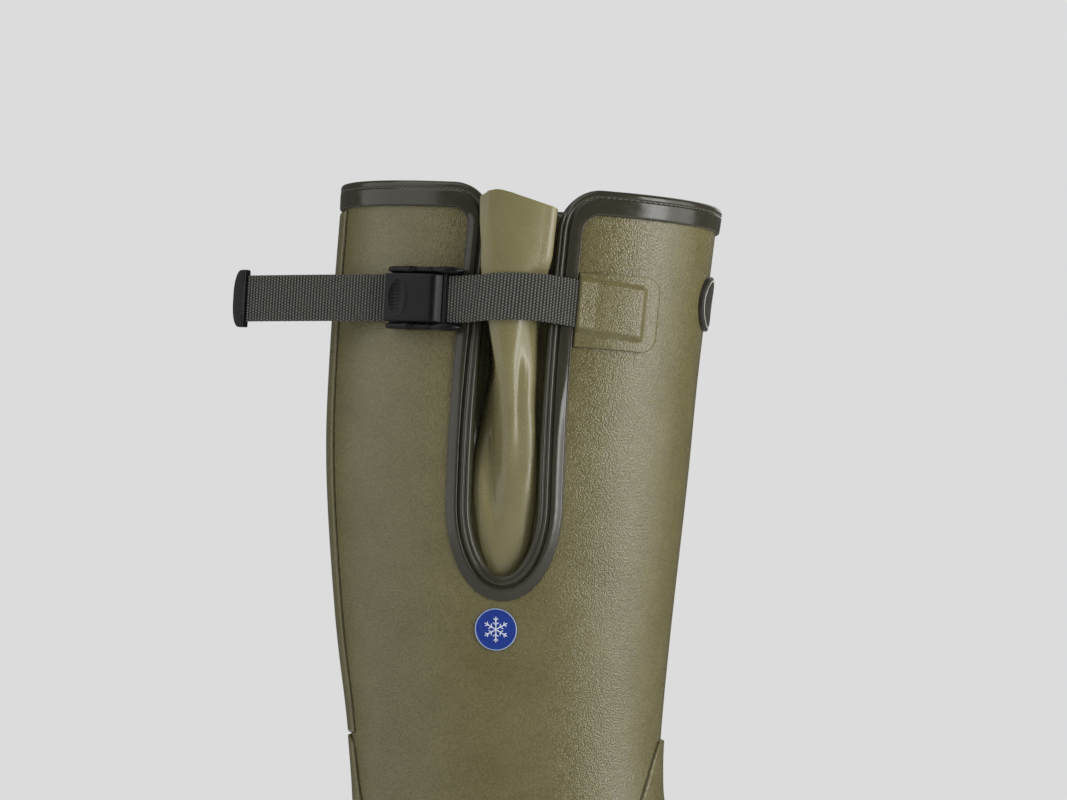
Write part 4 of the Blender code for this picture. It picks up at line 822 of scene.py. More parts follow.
# Above and under the strap the outer edge of the band is thicker, so that the band lies flatter there, and
# most on its front side.
FLAT_BAND = {"above": 108.0, "run": 34.0, "from": 4.0, "to": 8.2, "rise": 0.5,
             "front_above": 100.0, "front_rise": 0.6}
STITCH = {"pitch": 2.5, "length": 1.7, "radius": 0.28, "reach": 0.85, "lift": 1.52, "drop": 2.0}
STITCH_RINGS = 7
STITCH_SIDES = 6


def binding_path():
    """Closed edge of collar and U as way along and drop, from the foot of the U to the front and round."""
    count = EDGE_STATIONS
    foot = np.radians(np.linspace(QUARTER_TURN, 0.0, count["foot"], endpoint=False))
    side = np.linspace(OPEN_STRAIGHT, OPEN_CORNER, count["side"], endpoint=False)
    turn = np.radians(np.linspace(0.0, QUARTER_TURN, count["corner"], endpoint=False))
    along = np.concatenate((OPEN_HALF * np.cos(foot), np.full(len(side), OPEN_HALF),
                            OPEN_HALF + OPEN_CORNER * (1.0 - np.cos(turn))))
    drop = np.concatenate((OPEN_STRAIGHT + OPEN_ROUND * np.sin(foot), side,
                           OPEN_CORNER * (1.0 - np.sin(turn))))
    start = OPEN_HALF + OPEN_CORNER
    collar = np.linspace(start, COLLAR_LENGTH - start, count["collar"])
    return np.column_stack((np.concatenate((along, collar, COLLAR_LENGTH - along[:0:-1])),
                            np.concatenate((drop, np.zeros(len(collar)), drop[:0:-1]))))


def beside_path(path, reach, lift):
    """Points beside the closed edge: reach is measured square to it onto the wall, lift outward."""
    turn = np.array((COLLAR_LENGTH, 0.0))
    padded = np.vstack((path[-1] - turn, path, path[0] + turn))
    heading = unit(padded[2:] - padded[:-2])
    across = np.stack((-heading[:, 1], heading[:, 0]), axis=1)
    spots = path[:, None, :] + reach[..., None] * across[:, None, :]
    beyond = path[:, :1] > COLLAR_LENGTH / 2.0
    return skin(np.where(beyond, spots[..., 0] - COLLAR_LENGTH, spots[..., 0]), spots[..., 1], lift)


def smooth_rubber(name, pale, dark, roughness):
    """Extruded rubber: drawn smooth, with faint streaks 3 mm apart and patches of bloom 18 mm wide."""
    finish, shader = start_finish(name, **{"IOR": 1.5, "Coat Weight": 0.05, "Coat Roughness": 0.16})
    place = add_node(finish, "TexCoord", {})["Object"]
    streak = add_node(finish, "TexNoise", {"Vector": place, "Scale": 1.0 / (3.0 * MM), "Detail": 6.0})["Fac"]
    bloom = add_node(finish, "TexNoise", {"Vector": place, "Scale": 1.0 / (18.0 * MM), "Detail": 3.0})["Fac"]
    plug(shader, {"Roughness": add_node(finish, "MapRange", {
        "Value": streak, "From Min": 0.3, "From Max": 0.7,
        "To Min": roughness - 0.07, "To Max": roughness + 0.07})["Result"]})
    return dress(finish, shader, bloom, (linear(dark), linear(pale)), streak, 0.06, 0.6)


# Butyl edging is dark olive brown and keeps the smooth skin of the die.
edging_finish = smooth_rubber("extruded_edging_rubber", "#403d30", "#312e24", roughness=0.2)
edge_path = binding_path()
profile = smooth_rows(np.vstack((BINDING_PROFILE, BINDING_PROFILE[:1])), PROFILE_READINGS)
profile = dict(zip(BINDING_COLUMNS, profile.T))
at_collar = smooth_step((COLLAR_BLEND - edge_path[:, 1:]) / COLLAR_BLEND)
band_reach = profile["reach"] + at_collar * (profile["collar_reach"] - profile["reach"])
band_lift = profile["lift"] + at_collar * (profile["collar_lift"] - profile["lift"])
flat = smooth_step((FLAT_BAND["above"] - edge_path[:, 1:]) / FLAT_BAND["run"]) * (1.0 - at_collar)
outer = smooth_step((band_reach - FLAT_BAND["from"]) / (FLAT_BAND["to"] - FLAT_BAND["from"]))
rise = smooth_step((FLAT_BAND["front_above"] - edge_path[:, 1:]) / FLAT_BAND["run"])
rise = FLAT_BAND["rise"] + FLAT_BAND["front_rise"] * rise * (edge_path[:, :1] < COLLAR_LENGTH / 2.0)
band_lift = band_lift + rise * flat * outer * (band_lift > 0.0)
band = beside_path(edge_path, band_reach, band_lift)
binding = add_piece("collar_binding", [np.concatenate((band, band[:1]))], [edging_finish], sharp=60.0)
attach(binding, "root")
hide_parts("binding")


def read_line(points, travel, at):
    """Points of a line, straight between its readings, at lengths travelled along it."""
    return np.column_stack([np.interp(at, travel, axis) for axis in points.T])


def stitch_row():
    """Row of stitches in the collar's groove: each is a short thread that rises from it and dips in again."""
    travel = travelled(edge_path)
    ends = travel[edge_path[:, 1] < STITCH["drop"]][[0, -1]]
    centres = np.arange(ends[0], ends[1], STITCH["pitch"])
    run = np.linspace(-0.5, 0.5, STITCH_RINGS)
    bow = np.tile(np.sqrt(np.clip(1.0 - (2.0 * run) ** 2, 0.0, 1.0)), len(centres))[:, None]
    path = read_line(edge_path, travel, (centres[:, None] + STITCH["length"] * run).ravel())
    turn = np.linspace(0.0, 2.0 * math.pi, STITCH_SIDES + 1)
    swell = STITCH["radius"] * bow
    rise = STITCH["lift"] + (bow - 1.0) * STITCH["radius"]
    rings = beside_path(path, STITCH["reach"] + swell * np.cos(turn), rise + swell * np.sin(turn))
    return list(rings.reshape(len(centres), STITCH_RINGS, STITCH_SIDES + 1, 3))


def speckled(name, pale, dark, speck, roughness):
    """Plain finish whose colour drifts between two tones; speck is the width of the drift in mm."""
    finish, shader = start_finish(name, **{"Roughness": roughness})
    place = add_node(finish, "TexCoord", {})["Object"]
    drift = add_node(finish, "TexNoise", {"Vector": place, "Scale": 1.0 / (speck * MM)})["Fac"]
    tone = add_node(finish, "Mix", {0: drift, 6: linear(dark), 7: linear(pale)}, data_type="RGBA")
    plug(shader, {"Base Color": tone[2]})
    return finish


# Bonded polyester thread, two shades lighter than the band it sinks into.
thread_finish = speckled("bonded_thread", "#7d7a6c", "#3c3a31", speck=0.5, roughness=0.6)
stitches = add_piece("binding_stitches", stitch_row(), [thread_finish])
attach(stitches, "root")

# Strap and its tip
# A 20 mm polyester webbing runs from under its patch across the gusset and through the buckle to a free
# tail. The weave shows as ribs across the strap, and a moulded tip of black nylon is clamped on its end.
STRAP_WIDTH = 20.0
STRAP_THICK = 1.4
# Route over the boot: way along, drop and lift; then the way where the strap leaves its patch.
STRAP_POINTS = np.array((
    (52.0, 48.8, 1.05), (46.0, 48.4, 1.05), (40.0, 47.9, 1.05), (34.0, 47.4, 1.15), (29.0, 46.9, 1.9),
    (24.0, 46.4, 3.0), (17.0, 45.8, 5.3), (10.0, 45.4, 7.0), (2.0, 45.4, 7.6), (-6.0, 45.8, 7.6),
    (-13.0, 46.6, 6.9), (-18.0, 47.2, 5.9),
))
STRAP_LEAVES = 34.0
BUCKLE_DROP = 47.8
BUCKLE_FRONT = {"along": -21.8, "lift": 5.3}
BUCKLE_REAR = {"along": -57.8, "lift": 2.1}
STRAP_SEAT = 2.35
STRAP_ENTRY = -14.5
FRAME_END = 17.0
TAIL_END = 85.8
TAIL_STATIONS = 9
TAIL_BOW = 3.0
TAIL_DROOP = 1.8
RIB = {"pitch": 1.45, "depth": 0.26, "readings": 8}
STRAP_READINGS = 1200
STRAP_ROUND_POWER = 5.0
STRAP_SIDES = 44
TIP = {"start": 0.3, "reach": 6.7, "half": 12.4, "thick": 4.2, "thin": 0.35, "power": 10, "corner": 0.25,
       "round": 0.5, "ends": 0.36, "ends_power": 3, "lip": 0.35, "lip_end": 1.6, "lip_run": 0.8}
TIP_GRID = (61, 41)


def buckle_axes():
    """Seat of the buckle on the shaft and its axes: back along the strap, up the shaft, out."""
    front_seat = skin(BUCKLE_FRONT["along"], BUCKLE_DROP, BUCKLE_FRONT["lift"])
    rear_seat = skin(BUCKLE_REAR["along"], BUCKLE_DROP, BUCKLE_REAR["lift"])
    middle = 0.5 * (BUCKLE_FRONT["along"] + BUCKLE_REAR["along"])
    up = skin(middle, BUCKLE_DROP - 1.0, 0.0) - skin(middle, BUCKLE_DROP + 1.0, 0.0)
    rearward = unit(rear_seat - front_seat)
    up = unit(up - rearward * (up @ rearward))
    return 0.5 * (front_seat + rear_seat), np.stack((rearward, up, np.cross(up, rearward)))


BUCKLE_SEAT, BUCKLE_AXES = buckle_axes()


def by_buckle(local):
    """Points given by the buckle's own axes."""
    return BUCKLE_SEAT + np.asarray(local, dtype=float) @ BUCKLE_AXES


def strap_frame():
    """Strap as a smooth line through its route and tail, with its directions along, across and out, and
    the length travelled; there are several readings to each rib."""
    along, drop, lift = STRAP_POINTS.T
    lift = lift + pulled_in(along, drop) * smooth_step((STRAP_LEAVES - along) / STRAP_LEAVES)
    half = STRAP_WIDTH / 2.0
    on_boot = skin(along, drop, lift)
    upward = skin(along, drop - half, lift) - skin(along, drop + half, lift)
    rearward = np.linspace(STRAP_ENTRY, TAIL_END, TAIL_STATIONS)
    free = np.clip((rearward - FRAME_END) / (TAIL_END - FRAME_END), 0.0, 1.0)
    tail = by_buckle(np.stack((rearward, -TAIL_DROOP * free, STRAP_SEAT - TAIL_BOW * free ** 2), axis=1))
    route = np.vstack((on_boot, tail))
    tilt = np.vstack((upward, np.repeat(STRAP_WIDTH * BUCKLE_AXES[1:2], TAIL_STATIONS, axis=0)))
    line, across = smooth_rows(route, STRAP_READINGS), smooth_rows(tilt, STRAP_READINGS)
    travel = travelled(line)
    even = np.linspace(0.0, travel[-1], int(travel[-1] / RIB["pitch"] * RIB["readings"]))
    line, across = read_line(line, travel, even), unit(read_line(across, travel, even))
    heading = unit(np.gradient(line, axis=0))
    return line, heading, across, unit(np.cross(across, heading)), even


def ribbed_strap(line, across, out, travel):
    """Flat section with rounded selvedges, thinned between the ribs by a wave along the strap."""
    turn = np.linspace(0.0, 2.0 * math.pi, STRAP_SIDES + 1)
    wide = STRAP_WIDTH / 2.0 * blunted(np.cos(turn), 1.0 / STRAP_ROUND_POWER)
    deep = STRAP_THICK / 2.0 * blunted(np.sin(turn), 2.0 / STRAP_ROUND_POWER)
    valley = 0.5 - 0.5 * np.cos(2.0 * math.pi * travel / RIB["pitch"])
    thin = 1.0 - RIB["depth"] / (STRAP_THICK / 2.0) * valley[:, None, None]
    rings = line[:, None] + wide[None, :, None] * across[:, None] + thin * deep[None, :, None] * out[:, None]
    caps = [np.stack((rings[end], np.repeat(line[end][None], len(turn), axis=0))) for end in (0, -1)]
    marks = np.stack(np.broadcast_arrays(travel[:, None], wide[None, :]), axis=-1)
    cap_marks = [np.stack((marks[end], marks[end])) for end in (0, -1)]
    return [rings] + caps, [marks] + cap_marks


def webbing(name, pale, dark, knot):
    """Woven webbing on its own length and width, its colour read from the weave's relief: painted shade
    between the ribs, and on each rib a painted highlight on pale floats of yarn that change places from one
    rib to the next; knot is the floats' spacing in mm."""
    finish, shader = start_finish(name, **{"Roughness": 0.8, "Sheen Weight": 0.15})
    place = add_node(finish, "UVMap", {})["UV"]
    axes = add_node(finish, "SeparateXYZ", {"Vector": place})
    fray = add_node(finish, "TexNoise", {"Vector": place, "Scale": 1.6, "Detail": 4.0})
    value = {"along": axes["X"], "across": axes["Y"], "fray": fray["Fac"]}
    for step, operation, *terms in (
            ("count", "MULTIPLY", "along", 1.0 / RIB["pitch"]),
            ("shifted", "ADD", "count", 0.5),
            ("rank", "FLOOR", "shifted"),
            ("stagger", "MULTIPLY", "rank", 0.5),
            ("knots", "MULTIPLY_ADD", "across", 1.0 / knot, "stagger"),
            ("knot_turn", "MULTIPLY", "knots", 2.0 * math.pi),
            ("floats", "SINE", "knot_turn"),
            ("rib_turn", "MULTIPLY", "count", 2.0 * math.pi),
            ("ribs", "COSINE", "rib_turn"),
            ("both", "MULTIPLY_ADD", "floats", 0.8, "ribs"),
            ("frayed_relief", "MULTIPLY_ADD", "fray", 1.4, "both")):
        inputs = {number: value.get(term, term) for number, term in enumerate(terms)}
        value[step] = add_node(finish, "Math", inputs, operation=operation)["Value"]
    # Painted highlight and shade: near black in the hollows of the weave, pale on its crests.
    tone = add_node(finish, "MapRange", {"Value": value["frayed_relief"], "From Min": 0.0, "From Max": 2.7})
    return dress(finish, shader, tone["Result"], (linear(dark), linear(pale)), value["frayed_relief"], 0.16, 0.7)


def strap_tip(line, heading, across, out):
    """Clamped tip: a superellipse in plan whose reach shrinks to its ends, a blunt section that thins to the
    rear, and a lip at the strap."""
    spread = np.sin(np.linspace(-0.5, 0.5, TIP_GRID[0]) * math.pi)[:, None]
    turn = np.linspace(0.0, 2.0 * math.pi, TIP_GRID[1])[None, :]
    blunt = (1.0 - np.abs(spread) ** TIP["power"]) ** (1.0 / TIP["power"])
    reach = TIP["reach"] * (1.0 - TIP["ends"] * np.abs(spread) ** TIP["ends_power"])
    reach = reach * (TIP["corner"] + (1.0 - TIP["corner"]) * blunt)
    rearward = TIP["start"] + reach * 0.5 * (1.0 - blunted(np.cos(turn), TIP["round"]))
    lip = 1.0 + TIP["lip"] * smooth_step((TIP["lip_end"] - rearward) / TIP["lip_run"])
    thin = 1.0 - TIP["thin"] * (rearward / (TIP["reach"] + TIP["start"])) ** 2
    thick = 0.5 * TIP["thick"] * blunt * blunted(np.sin(turn), TIP["round"]) * lip * thin
    spots = line[-1] + rearward[..., None] * heading[-1] + (TIP["half"] * spread)[..., None] * across[-1]
    return [spots + thick[..., None] * out[-1]]


# Polyester webbing of dark grey green yarn: the pale floats are a painted highlight where the ribs catch the
# light, and the near black between the ribs is painted shade.
webbing_finish = webbing("ribbed_webbing", "#7d7e73", "#060705", knot=1.2)
strap_line, strap_heading, strap_across, strap_out, strap_travel = strap_frame()
strap_grids, strap_marks = ribbed_strap(strap_line, strap_across, strap_out, strap_travel)
strap = add_piece("webbing_strap", strap_grids, [webbing_finish], sharp=80.0, marks=strap_marks)
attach(strap, "root")
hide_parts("strap")


def moulded_nylon(name, pale, dark, roughness, grit):
    """Black nylon from a spark-eroded mould: a fine pitted skin, rubbed in patches 6 mm wide; grit is the
    pits' width in mm, drawn a little coarser than life so that it shows."""
    finish, shader = start_finish(name, **{"IOR": 1.53, "Specular IOR Level": 0.21})
    place = add_node(finish, "TexCoord", {})["Object"]
    pits = add_node(finish, "TexNoise", {"Vector": place, "Scale": 1.0 / (grit * MM), "Detail": 3.0})["Fac"]
    rub = add_node(finish, "TexNoise", {"Vector": place, "Scale": 1.0 / (6.0 * MM), "Detail": 4.0})["Fac"]
    plug(shader, {"Roughness": add_node(finish, "MapRange", {
        "Value": rub, "To Min": roughness - 0.1, "To Max": roughness + 0.1})["Result"]})
    return dress(finish, shader, rub, (linear(dark), linear(pale)), pits, 0.04, 0.7)


# Glass-filled nylon: near black, dull on the flats and brighter on rubbed edges.
nylon_finish = moulded_nylon("moulded_black_nylon", "#121213", "#0d0d0e", roughness=0.36, grit=0.4)
tip = add_piece("nylon_strap_tip", strap_tip(strap_line, strap_heading, strap_across, strap_out),
                [nylon_finish])
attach(tip, "root")
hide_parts("strap_tip")

# Strap patch
# A patch of sheet rubber is cured over the fixed end of the strap, which stands up under it as a flat
# raised panel; its rear edge ends at the binding and its front corners are round.
PATCH = {"back": 25.5, "front": 63.0, "top": 33.0, "foot": 65.2, "corner": 7.0, "thick": 1.5}
PATCH_GRID = (110, 120)
PATCH_RISE = {"side": -0.7, "run": 3.5, "end": 53.2, "end_run": 3.2}

patch_drop = PATCH["foot"] + crowded(PATCH_GRID[0]) * (PATCH["top"] - PATCH["foot"])
past_corner = PATCH["corner"] + np.maximum(PATCH["top"] - patch_drop, patch_drop - PATCH["foot"])
past_corner = np.clip(past_corner, 0.0, PATCH["corner"])
inset = PATCH["corner"] - np.sqrt(PATCH["corner"] ** 2 - past_corner ** 2)
patch_level = level_at(patch_drop)
patch_length = np.interp(patch_level, FORM_LEVEL, PERIMETER)
patch_sides = (PATCH["back"] / patch_length, (PATCH["front"] - inset) / patch_length)
patch_along = patch_sides[0][:, None] + crowded(PATCH_GRID[1]) * (patch_sides[1] - patch_sides[0])[:, None]
patch_along = patch_along * patch_length[:, None]
strap_drop = np.interp(-patch_along, -STRAP_POINTS[:, 0], STRAP_POINTS[:, 1])
strap_lift = np.interp(-patch_along, -STRAP_POINTS[:, 0], STRAP_POINTS[:, 2])
strap_half = STRAP_WIDTH / 2.0 + PATCH_RISE["side"] + PATCH_RISE["run"]
over_strap = smooth_step((strap_half - np.abs(patch_drop[:, None] - strap_drop)) / PATCH_RISE["run"])
over_strap = over_strap * smooth_step(1.0 - (patch_along - PATCH_RISE["end"]) / PATCH_RISE["end_run"])
raised = over_strap * (strap_lift + STRAP_THICK / 2.0)
patch_grids, patch_marks = laid_panel(patch_level, *patch_sides, PATCH_GRID[1], PATCH["thick"], raised)
# The same sheet again, its grain a little flattened where it is stretched over the strap, and a dark line
# of painted shadow along its edges.
patch_finish = moulded_rubber("stretched_patch_rubber", *OLIVE, OLIVE_GRAIN, depth=0.12, roughness=0.14,
                              painted_shade_width=0.5)
patch = add_piece("strap_anchor_patch", patch_grids, [patch_finish], sharp=70.0, marks=patch_marks)
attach(patch, "root")
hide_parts("strap_patch")

# Buckle
# A cam buckle of black nylon: a channel with two rails whose front ends are thick rounded arms, and a
# convex lever with a slanted nose, pressed flat on the strap by the hollow oval under the thumb.
BUCKLE_HALF = 13.75
BAR_READINGS = 40
RAIL = {"thick": 3.4, "stations": 140, "sides": 28, "power": 4.0}
RAIL_COLUMNS = ("back", "low", "high", "swell")
RAIL_STATIONS = np.array((
    (-18.3, 2.0, 2.6, 0.05), (-17.6, 1.2, 3.9, 0.3), (-16.2, 0.5, 5.4, 0.58), (-14.4, 0.1, 6.6, 0.8),
    (-12.0, 0.0, 7.3, 0.9), (-9.8, 0.0, 7.4, 0.88), (-7.6, 0.0, 6.8, 0.78), (-5.8, 0.0, 6.0, 0.7),
    (-4.4, 0.0, 6.0, 0.72), (-3.4, 0.0, 6.7, 0.82), (-2.4, 0.0, 6.0, 0.74), (0.0, 0.0, 5.8, 0.76),
    (3.2, 0.0, 5.9, 0.78), (4.8, 0.0, 6.9, 0.9), (6.4, 0.0, 7.1, 0.92), (8.0, 0.0, 6.4, 0.84),
    (10.5, 0.0, 5.9, 0.8), (13.5, 0.0, 5.5, 0.78), (15.8, 0.0, 4.8, 0.66), (16.8, 0.4, 3.8, 0.44),
    (17.2, 1.2, 2.4, 0.1),
))
PLATE = {"from": -17.0, "to": 16.4, "low": 0.0, "high": 1.3, "stations": 40, "sides": 24, "power": 10.0}
CROSS_BAR = {"from": -11.1, "to": -9.7, "low": 3.15, "high": 4.1, "stations": 12, "sides": 40, "power": 8.0}
LEVER_HALF = 10.2
LEVER_COLUMNS = ("back", "low", "high")
LEVER_STATIONS = np.array((
    (-9.3, 3.7, 4.0), (-9.15, 3.3, 4.45), (-8.6, 3.2, 5.35), (-8.0, 3.2, 6.25), (-7.3, 3.2, 7.1),
    (-6.3, 3.3, 7.8), (-4.8, 3.5, 8.12), (-1.0, 4.4, 8.05), (4.0, 4.9, 7.8), (9.0, 4.85, 7.35),
    (13.0, 4.6, 6.8), (16.0, 4.3, 6.3), (16.9, 4.3, 5.9), (17.2, 4.7, 5.1),
))
LEVER_GRID = (230, 130)
LEVER_POWER = 12.0
LEVER_EDGE = 0.4
PAD = {"back": 10.4, "along": 4.4, "across": 7.7, "sink": 1.25, "rim": 0.16, "rim_at": 1.04,
       "rim_spread": 0.06, "rib": 1.5, "rib_high": 0.3, "rib_rise": 4.0, "rib_lead": 0.4}


def rounded_bar(middle, low, high, back_at, half, sides, power):
    """Ring of a blunt superellipse, in even steps, in the buckle's up and out directions at each station."""
    turn = np.linspace(0.0, 2.0 * math.pi, BAR_READINGS * sides + 1)
    wave = blunted(np.stack((np.cos(turn), np.sin(turn))), 2.0 / power)
    depth = 0.5 * (high - low)
    steps = np.hypot(half.max() * np.diff(wave[0]), depth.max() * np.diff(wave[1]))
    travel = np.concatenate(((0.0,), np.cumsum(steps)))
    wide, deep = (np.interp(np.linspace(0.0, travel[-1], sides + 1), travel, axis)[None, :] for axis in wave)
    up = middle + half[:, None] * wide
    out = 0.5 * (high + low)[:, None] + depth[:, None] * deep
    return np.stack((np.broadcast_to(back_at[:, None], up.shape), up, out), axis=-1)


def on_buckle(rings):
    """Rings of a bar, by the buckle's own axes, with both ends drawn to their middles."""
    ends = [np.repeat(rings[end].mean(axis=0)[None, None], rings.shape[1], axis=1) for end in (0, -1)]
    return by_buckle(np.concatenate((ends[0], rings, ends[1])))


def buckle_channel():
    """Two rails, each a bar that swells at its arm and bumps and thins at its ends, and between them the
    plate and a bar across, both with level faces."""
    rail = dict(zip(RAIL_COLUMNS, smooth_rows(RAIL_STATIONS, RAIL["stations"]).T))
    reach = BUCKLE_HALF - RAIL["thick"] / 2.0
    half = RAIL["thick"] / 2.0 * rail["swell"]
    grids = []
    for middle in (-reach, reach):
        grids.append(on_buckle(rounded_bar(middle, rail["low"], rail["high"], rail["back"], half,
                                           RAIL["sides"], RAIL["power"])))
    for bar in (PLATE, CROSS_BAR):
        span = np.linspace(bar["from"], bar["to"], bar["stations"])
        low, high, wide = (np.full(len(span), size) for size in (bar["low"], bar["high"], reach))
        grids.append(on_buckle(rounded_bar(0.0, low, high, span, wide, bar["sides"], bar["power"])))
    return grids


def buckle_lever():
    """Convex plate from its slanted nose to its thin end, with a hollow oval, a parabola deep, in its face,
    a raised rim round the oval, a bell across, and low ribs on the oval's rear half."""
    lever = dict(zip(LEVER_COLUMNS, smooth_rows(LEVER_STATIONS, LEVER_GRID[0]).T))
    half = np.full(LEVER_GRID[0], LEVER_HALF)
    bar = rounded_bar(0.0, lever["low"], lever["high"], lever["back"], half, LEVER_GRID[1], LEVER_POWER)
    oval = np.hypot((bar[..., 0] - PAD["back"]) / PAD["along"], bar[..., 1] / PAD["across"])
    face = smooth_step((bar[..., 2] - 0.5 * (lever["low"] + lever["high"])[:, None]) / LEVER_EDGE)
    dish = np.clip(1.0 - oval ** 2, 0.0, 1.0)
    ridge = np.exp(-((oval - PAD["rim_at"]) / PAD["rim_spread"]) ** 2)
    rib = 0.5 + 0.5 * np.cos(2.0 * math.pi * bar[..., 1] / PAD["rib"])
    rib = rib * smooth_step(PAD["rib_rise"] * dish) * smooth_step(PAD["rib_lead"] + bar[..., 0] - PAD["back"])
    bar[..., 2] += face * (PAD["rim"] * ridge - PAD["sink"] * dish + PAD["rib_high"] * rib)
    return [on_buckle(bar)]


channel = add_piece("buckle_channel", buckle_channel(), [nylon_finish])
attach(channel, "root")
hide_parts("buckle_frame")
lever = add_piece("buckle_cam_lever", buckle_lever(), [nylon_finish])
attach(lever, "root")
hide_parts("buckle_lever")

# Badge on the shin
# A round boss of dark rubber, moulded apart and cured onto the front of the shaft. It is plain inside a thin
# pale ring.
BADGE = {"radius": 12.0, "thick": 2.0, "drop": 40.0, "shift": -2.5}
BADGE_RINGS = np.array(((0.0, 1.0), (0.4, 1.0), (0.80, 1.0), (0.82, 1.14), (0.85, 1.16), (0.88, 1.14),
                        (0.90, 1.0), (0.95, 0.99), (0.98, 0.93), (0.995, 0.75), (1.0, 0.45), (1.0, -0.15)))
DISC_SIDES = 120
LINE_READINGS = 400


def round_boss(disc, along, rings):
    """Disc on the shaft: each ring has a share of the radius and of the height, the last is sunk in. Each
    point is marked with its share of the radius."""
    turn = np.linspace(0.0, 2.0 * math.pi, DISC_SIDES + 1)[None, :]
    share, rise = rings.T[..., None]
    radius = disc["radius"] * share
    face = skin(along + radius * np.cos(turn), disc["drop"] + radius * np.sin(turn), disc["thick"] * rise)
    foot = np.concatenate((face[-1:], face[:1] * 0.0 + face[-1].mean(axis=0)))
    reach = np.broadcast_to(share, face.shape[:2])
    marks = np.stack((reach, 0.0 * reach), axis=-1)
    return [face, foot], [marks, np.ones((2, DISC_SIDES + 1, 2))]


def ringed_rubber(name, body, ring, inner, outer, roughness):
    """Rubber disc with a printed ring between two shares of its radius, which is its own first mark."""
    finish, shader = start_finish(name, **{"IOR": 1.5, "Coat Weight": 0.25, "Coat Roughness": 0.25})
    place = add_node(finish, "TexCoord", {})["Object"]
    share = add_node(finish, "SeparateXYZ", {"Vector": add_node(finish, "UVMap", {})["UV"]})["X"]
    past = add_node(finish, "Math", {0: share, 1: inner}, operation="GREATER_THAN")["Value"]
    short = add_node(finish, "Math", {0: share, 1: outer}, operation="LESS_THAN")["Value"]
    printed = add_node(finish, "Math", {0: past, 1: short}, operation="MULTIPLY")["Value"]
    speck = add_node(finish, "TexNoise", {"Vector": place, "Scale": 1.0 / (1.2 * MM), "Detail": 4.0})["Fac"]
    tone = add_node(finish, "Mix", {0: speck, 6: linear(body[0]), 7: linear(body[1])}, data_type="RGBA")[2]
    plug(shader, {"Roughness": add_node(finish, "MapRange", {
        "Value": speck, "To Min": roughness - 0.08, "To Max": roughness + 0.08})["Result"]})
    return dress(finish, shader, printed, (tone, linear(ring)), speck, 0.05, 0.5)


shin = np.linspace(0.0, COLLAR_LENGTH / 2.0, LINE_READINGS)
badge_along = shin[np.argmax(skin(shin, BADGE["drop"], 0.0)[:, 0])] + BADGE["shift"]
# Dark rubber with a pale ring rubbed into a moulded line.
badge_finish = ringed_rubber("ringed_badge_rubber", ("#2a2923", "#35332b"), "#c9c6b8",
                             inner=0.825, outer=0.875, roughness=0.48)
badge_grids, badge_marks = round_boss(BADGE, badge_along, BADGE_RINGS)
badge = add_piece("shin_badge", badge_grids, [badge_finish], marks=badge_marks)
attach(badge, "root")
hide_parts("front_badge")

# Cold label
# A small blue disc of printed rubber under the gusset shows that the boot is lined for the cold: a plain
# six-armed snow crystal in white inside a thin pale rim.
LABEL = {"radius": 9.0, "thick": 0.7, "along": -2.5, "drop": 186.0}
LABEL_RINGS = np.array(((0.0, 1.0), (0.5, 1.0), (0.9, 1.0), (0.935, 1.0), (0.95, 1.2), (0.97, 1.25),
                        (0.985, 1.1), (1.0, 0.7), (1.0, -0.4)))
CRYSTAL_ARMS = 6
CRYSTAL_COLUMNS = ("start", "length", "turn", "half")
# Bars of one arm: distance of start from the middle, length, turn from the arm in degrees and half width.
CRYSTAL_BARS = np.array(((0.0, 5.6, 0.0, 0.26), (2.1, 1.5, 58.0, 0.21), (2.1, 1.5, -58.0, 0.21),
                         (3.9, 1.3, 52.0, 0.21), (3.9, 1.3, -52.0, 0.21)))
CRYSTAL_LIFT = 0.9
CRYSTAL_RISE = 0.22
CRYSTAL_TURN = 30.0
CRYSTAL_END_POWER = 8
BAR_GRID = (15, 9)


def crystal_bars():
    """Bars of the crystal: flat strips with round ends, half an ellipse high, laid on the label."""
    run = np.sin(np.linspace(-0.5, 0.5, BAR_GRID[0]) * math.pi)[:, None]
    turn = np.linspace(0.0, math.pi, BAR_GRID[1])[None, :]
    taper = np.sqrt(np.clip(1.0 - np.abs(run) ** CRYSTAL_END_POWER, 0.0, 1.0))
    lift = CRYSTAL_LIFT * LABEL["thick"] + CRYSTAL_RISE * taper * np.sin(turn)
    grids = []
    for arm in np.radians(CRYSTAL_TURN + np.arange(CRYSTAL_ARMS) * 360.0 / CRYSTAL_ARMS):
        for row in CRYSTAL_BARS:
            bar = dict(zip(CRYSTAL_COLUMNS, row))
            way = arm + math.radians(bar["turn"])
            on = 0.5 * bar["length"] * (1.0 + run)
            beside = bar["half"] * taper * np.cos(turn)
            along = bar["start"] * math.cos(arm) + on * math.cos(way) - beside * math.sin(way)
            drop = bar["start"] * math.sin(arm) + on * math.sin(way) + beside * math.cos(way)
            face = skin(LABEL["along"] + along, LABEL["drop"] + drop, lift)
            grids += [face, np.stack((face[:, 0], face[:, -1]))]
    return grids


# Pad-printed rubber: a deep even blue with a hard gloss.
label_finish = ringed_rubber("printed_blue_rubber", ("#0a2f8a", "#0d3796"), "#9fb0cf",
                             inner=0.942, outer=0.99, roughness=0.35)
label_grids, label_marks = round_boss(LABEL, LABEL["along"], LABEL_RINGS)
label = add_piece("cold_label_disc", label_grids, [label_finish], marks=label_marks)
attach(label, "root")
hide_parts("cold_label")
# White ink stands a little proud and is duller than the blue.
ink_finish = speckled("white_pad_ink", "#eef2fa", "#cfd8ea", speck=0.8, roughness=0.5)
crystal = add_piece("cold_label_crystal", crystal_bars(), [ink_finish])
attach(crystal, "root")

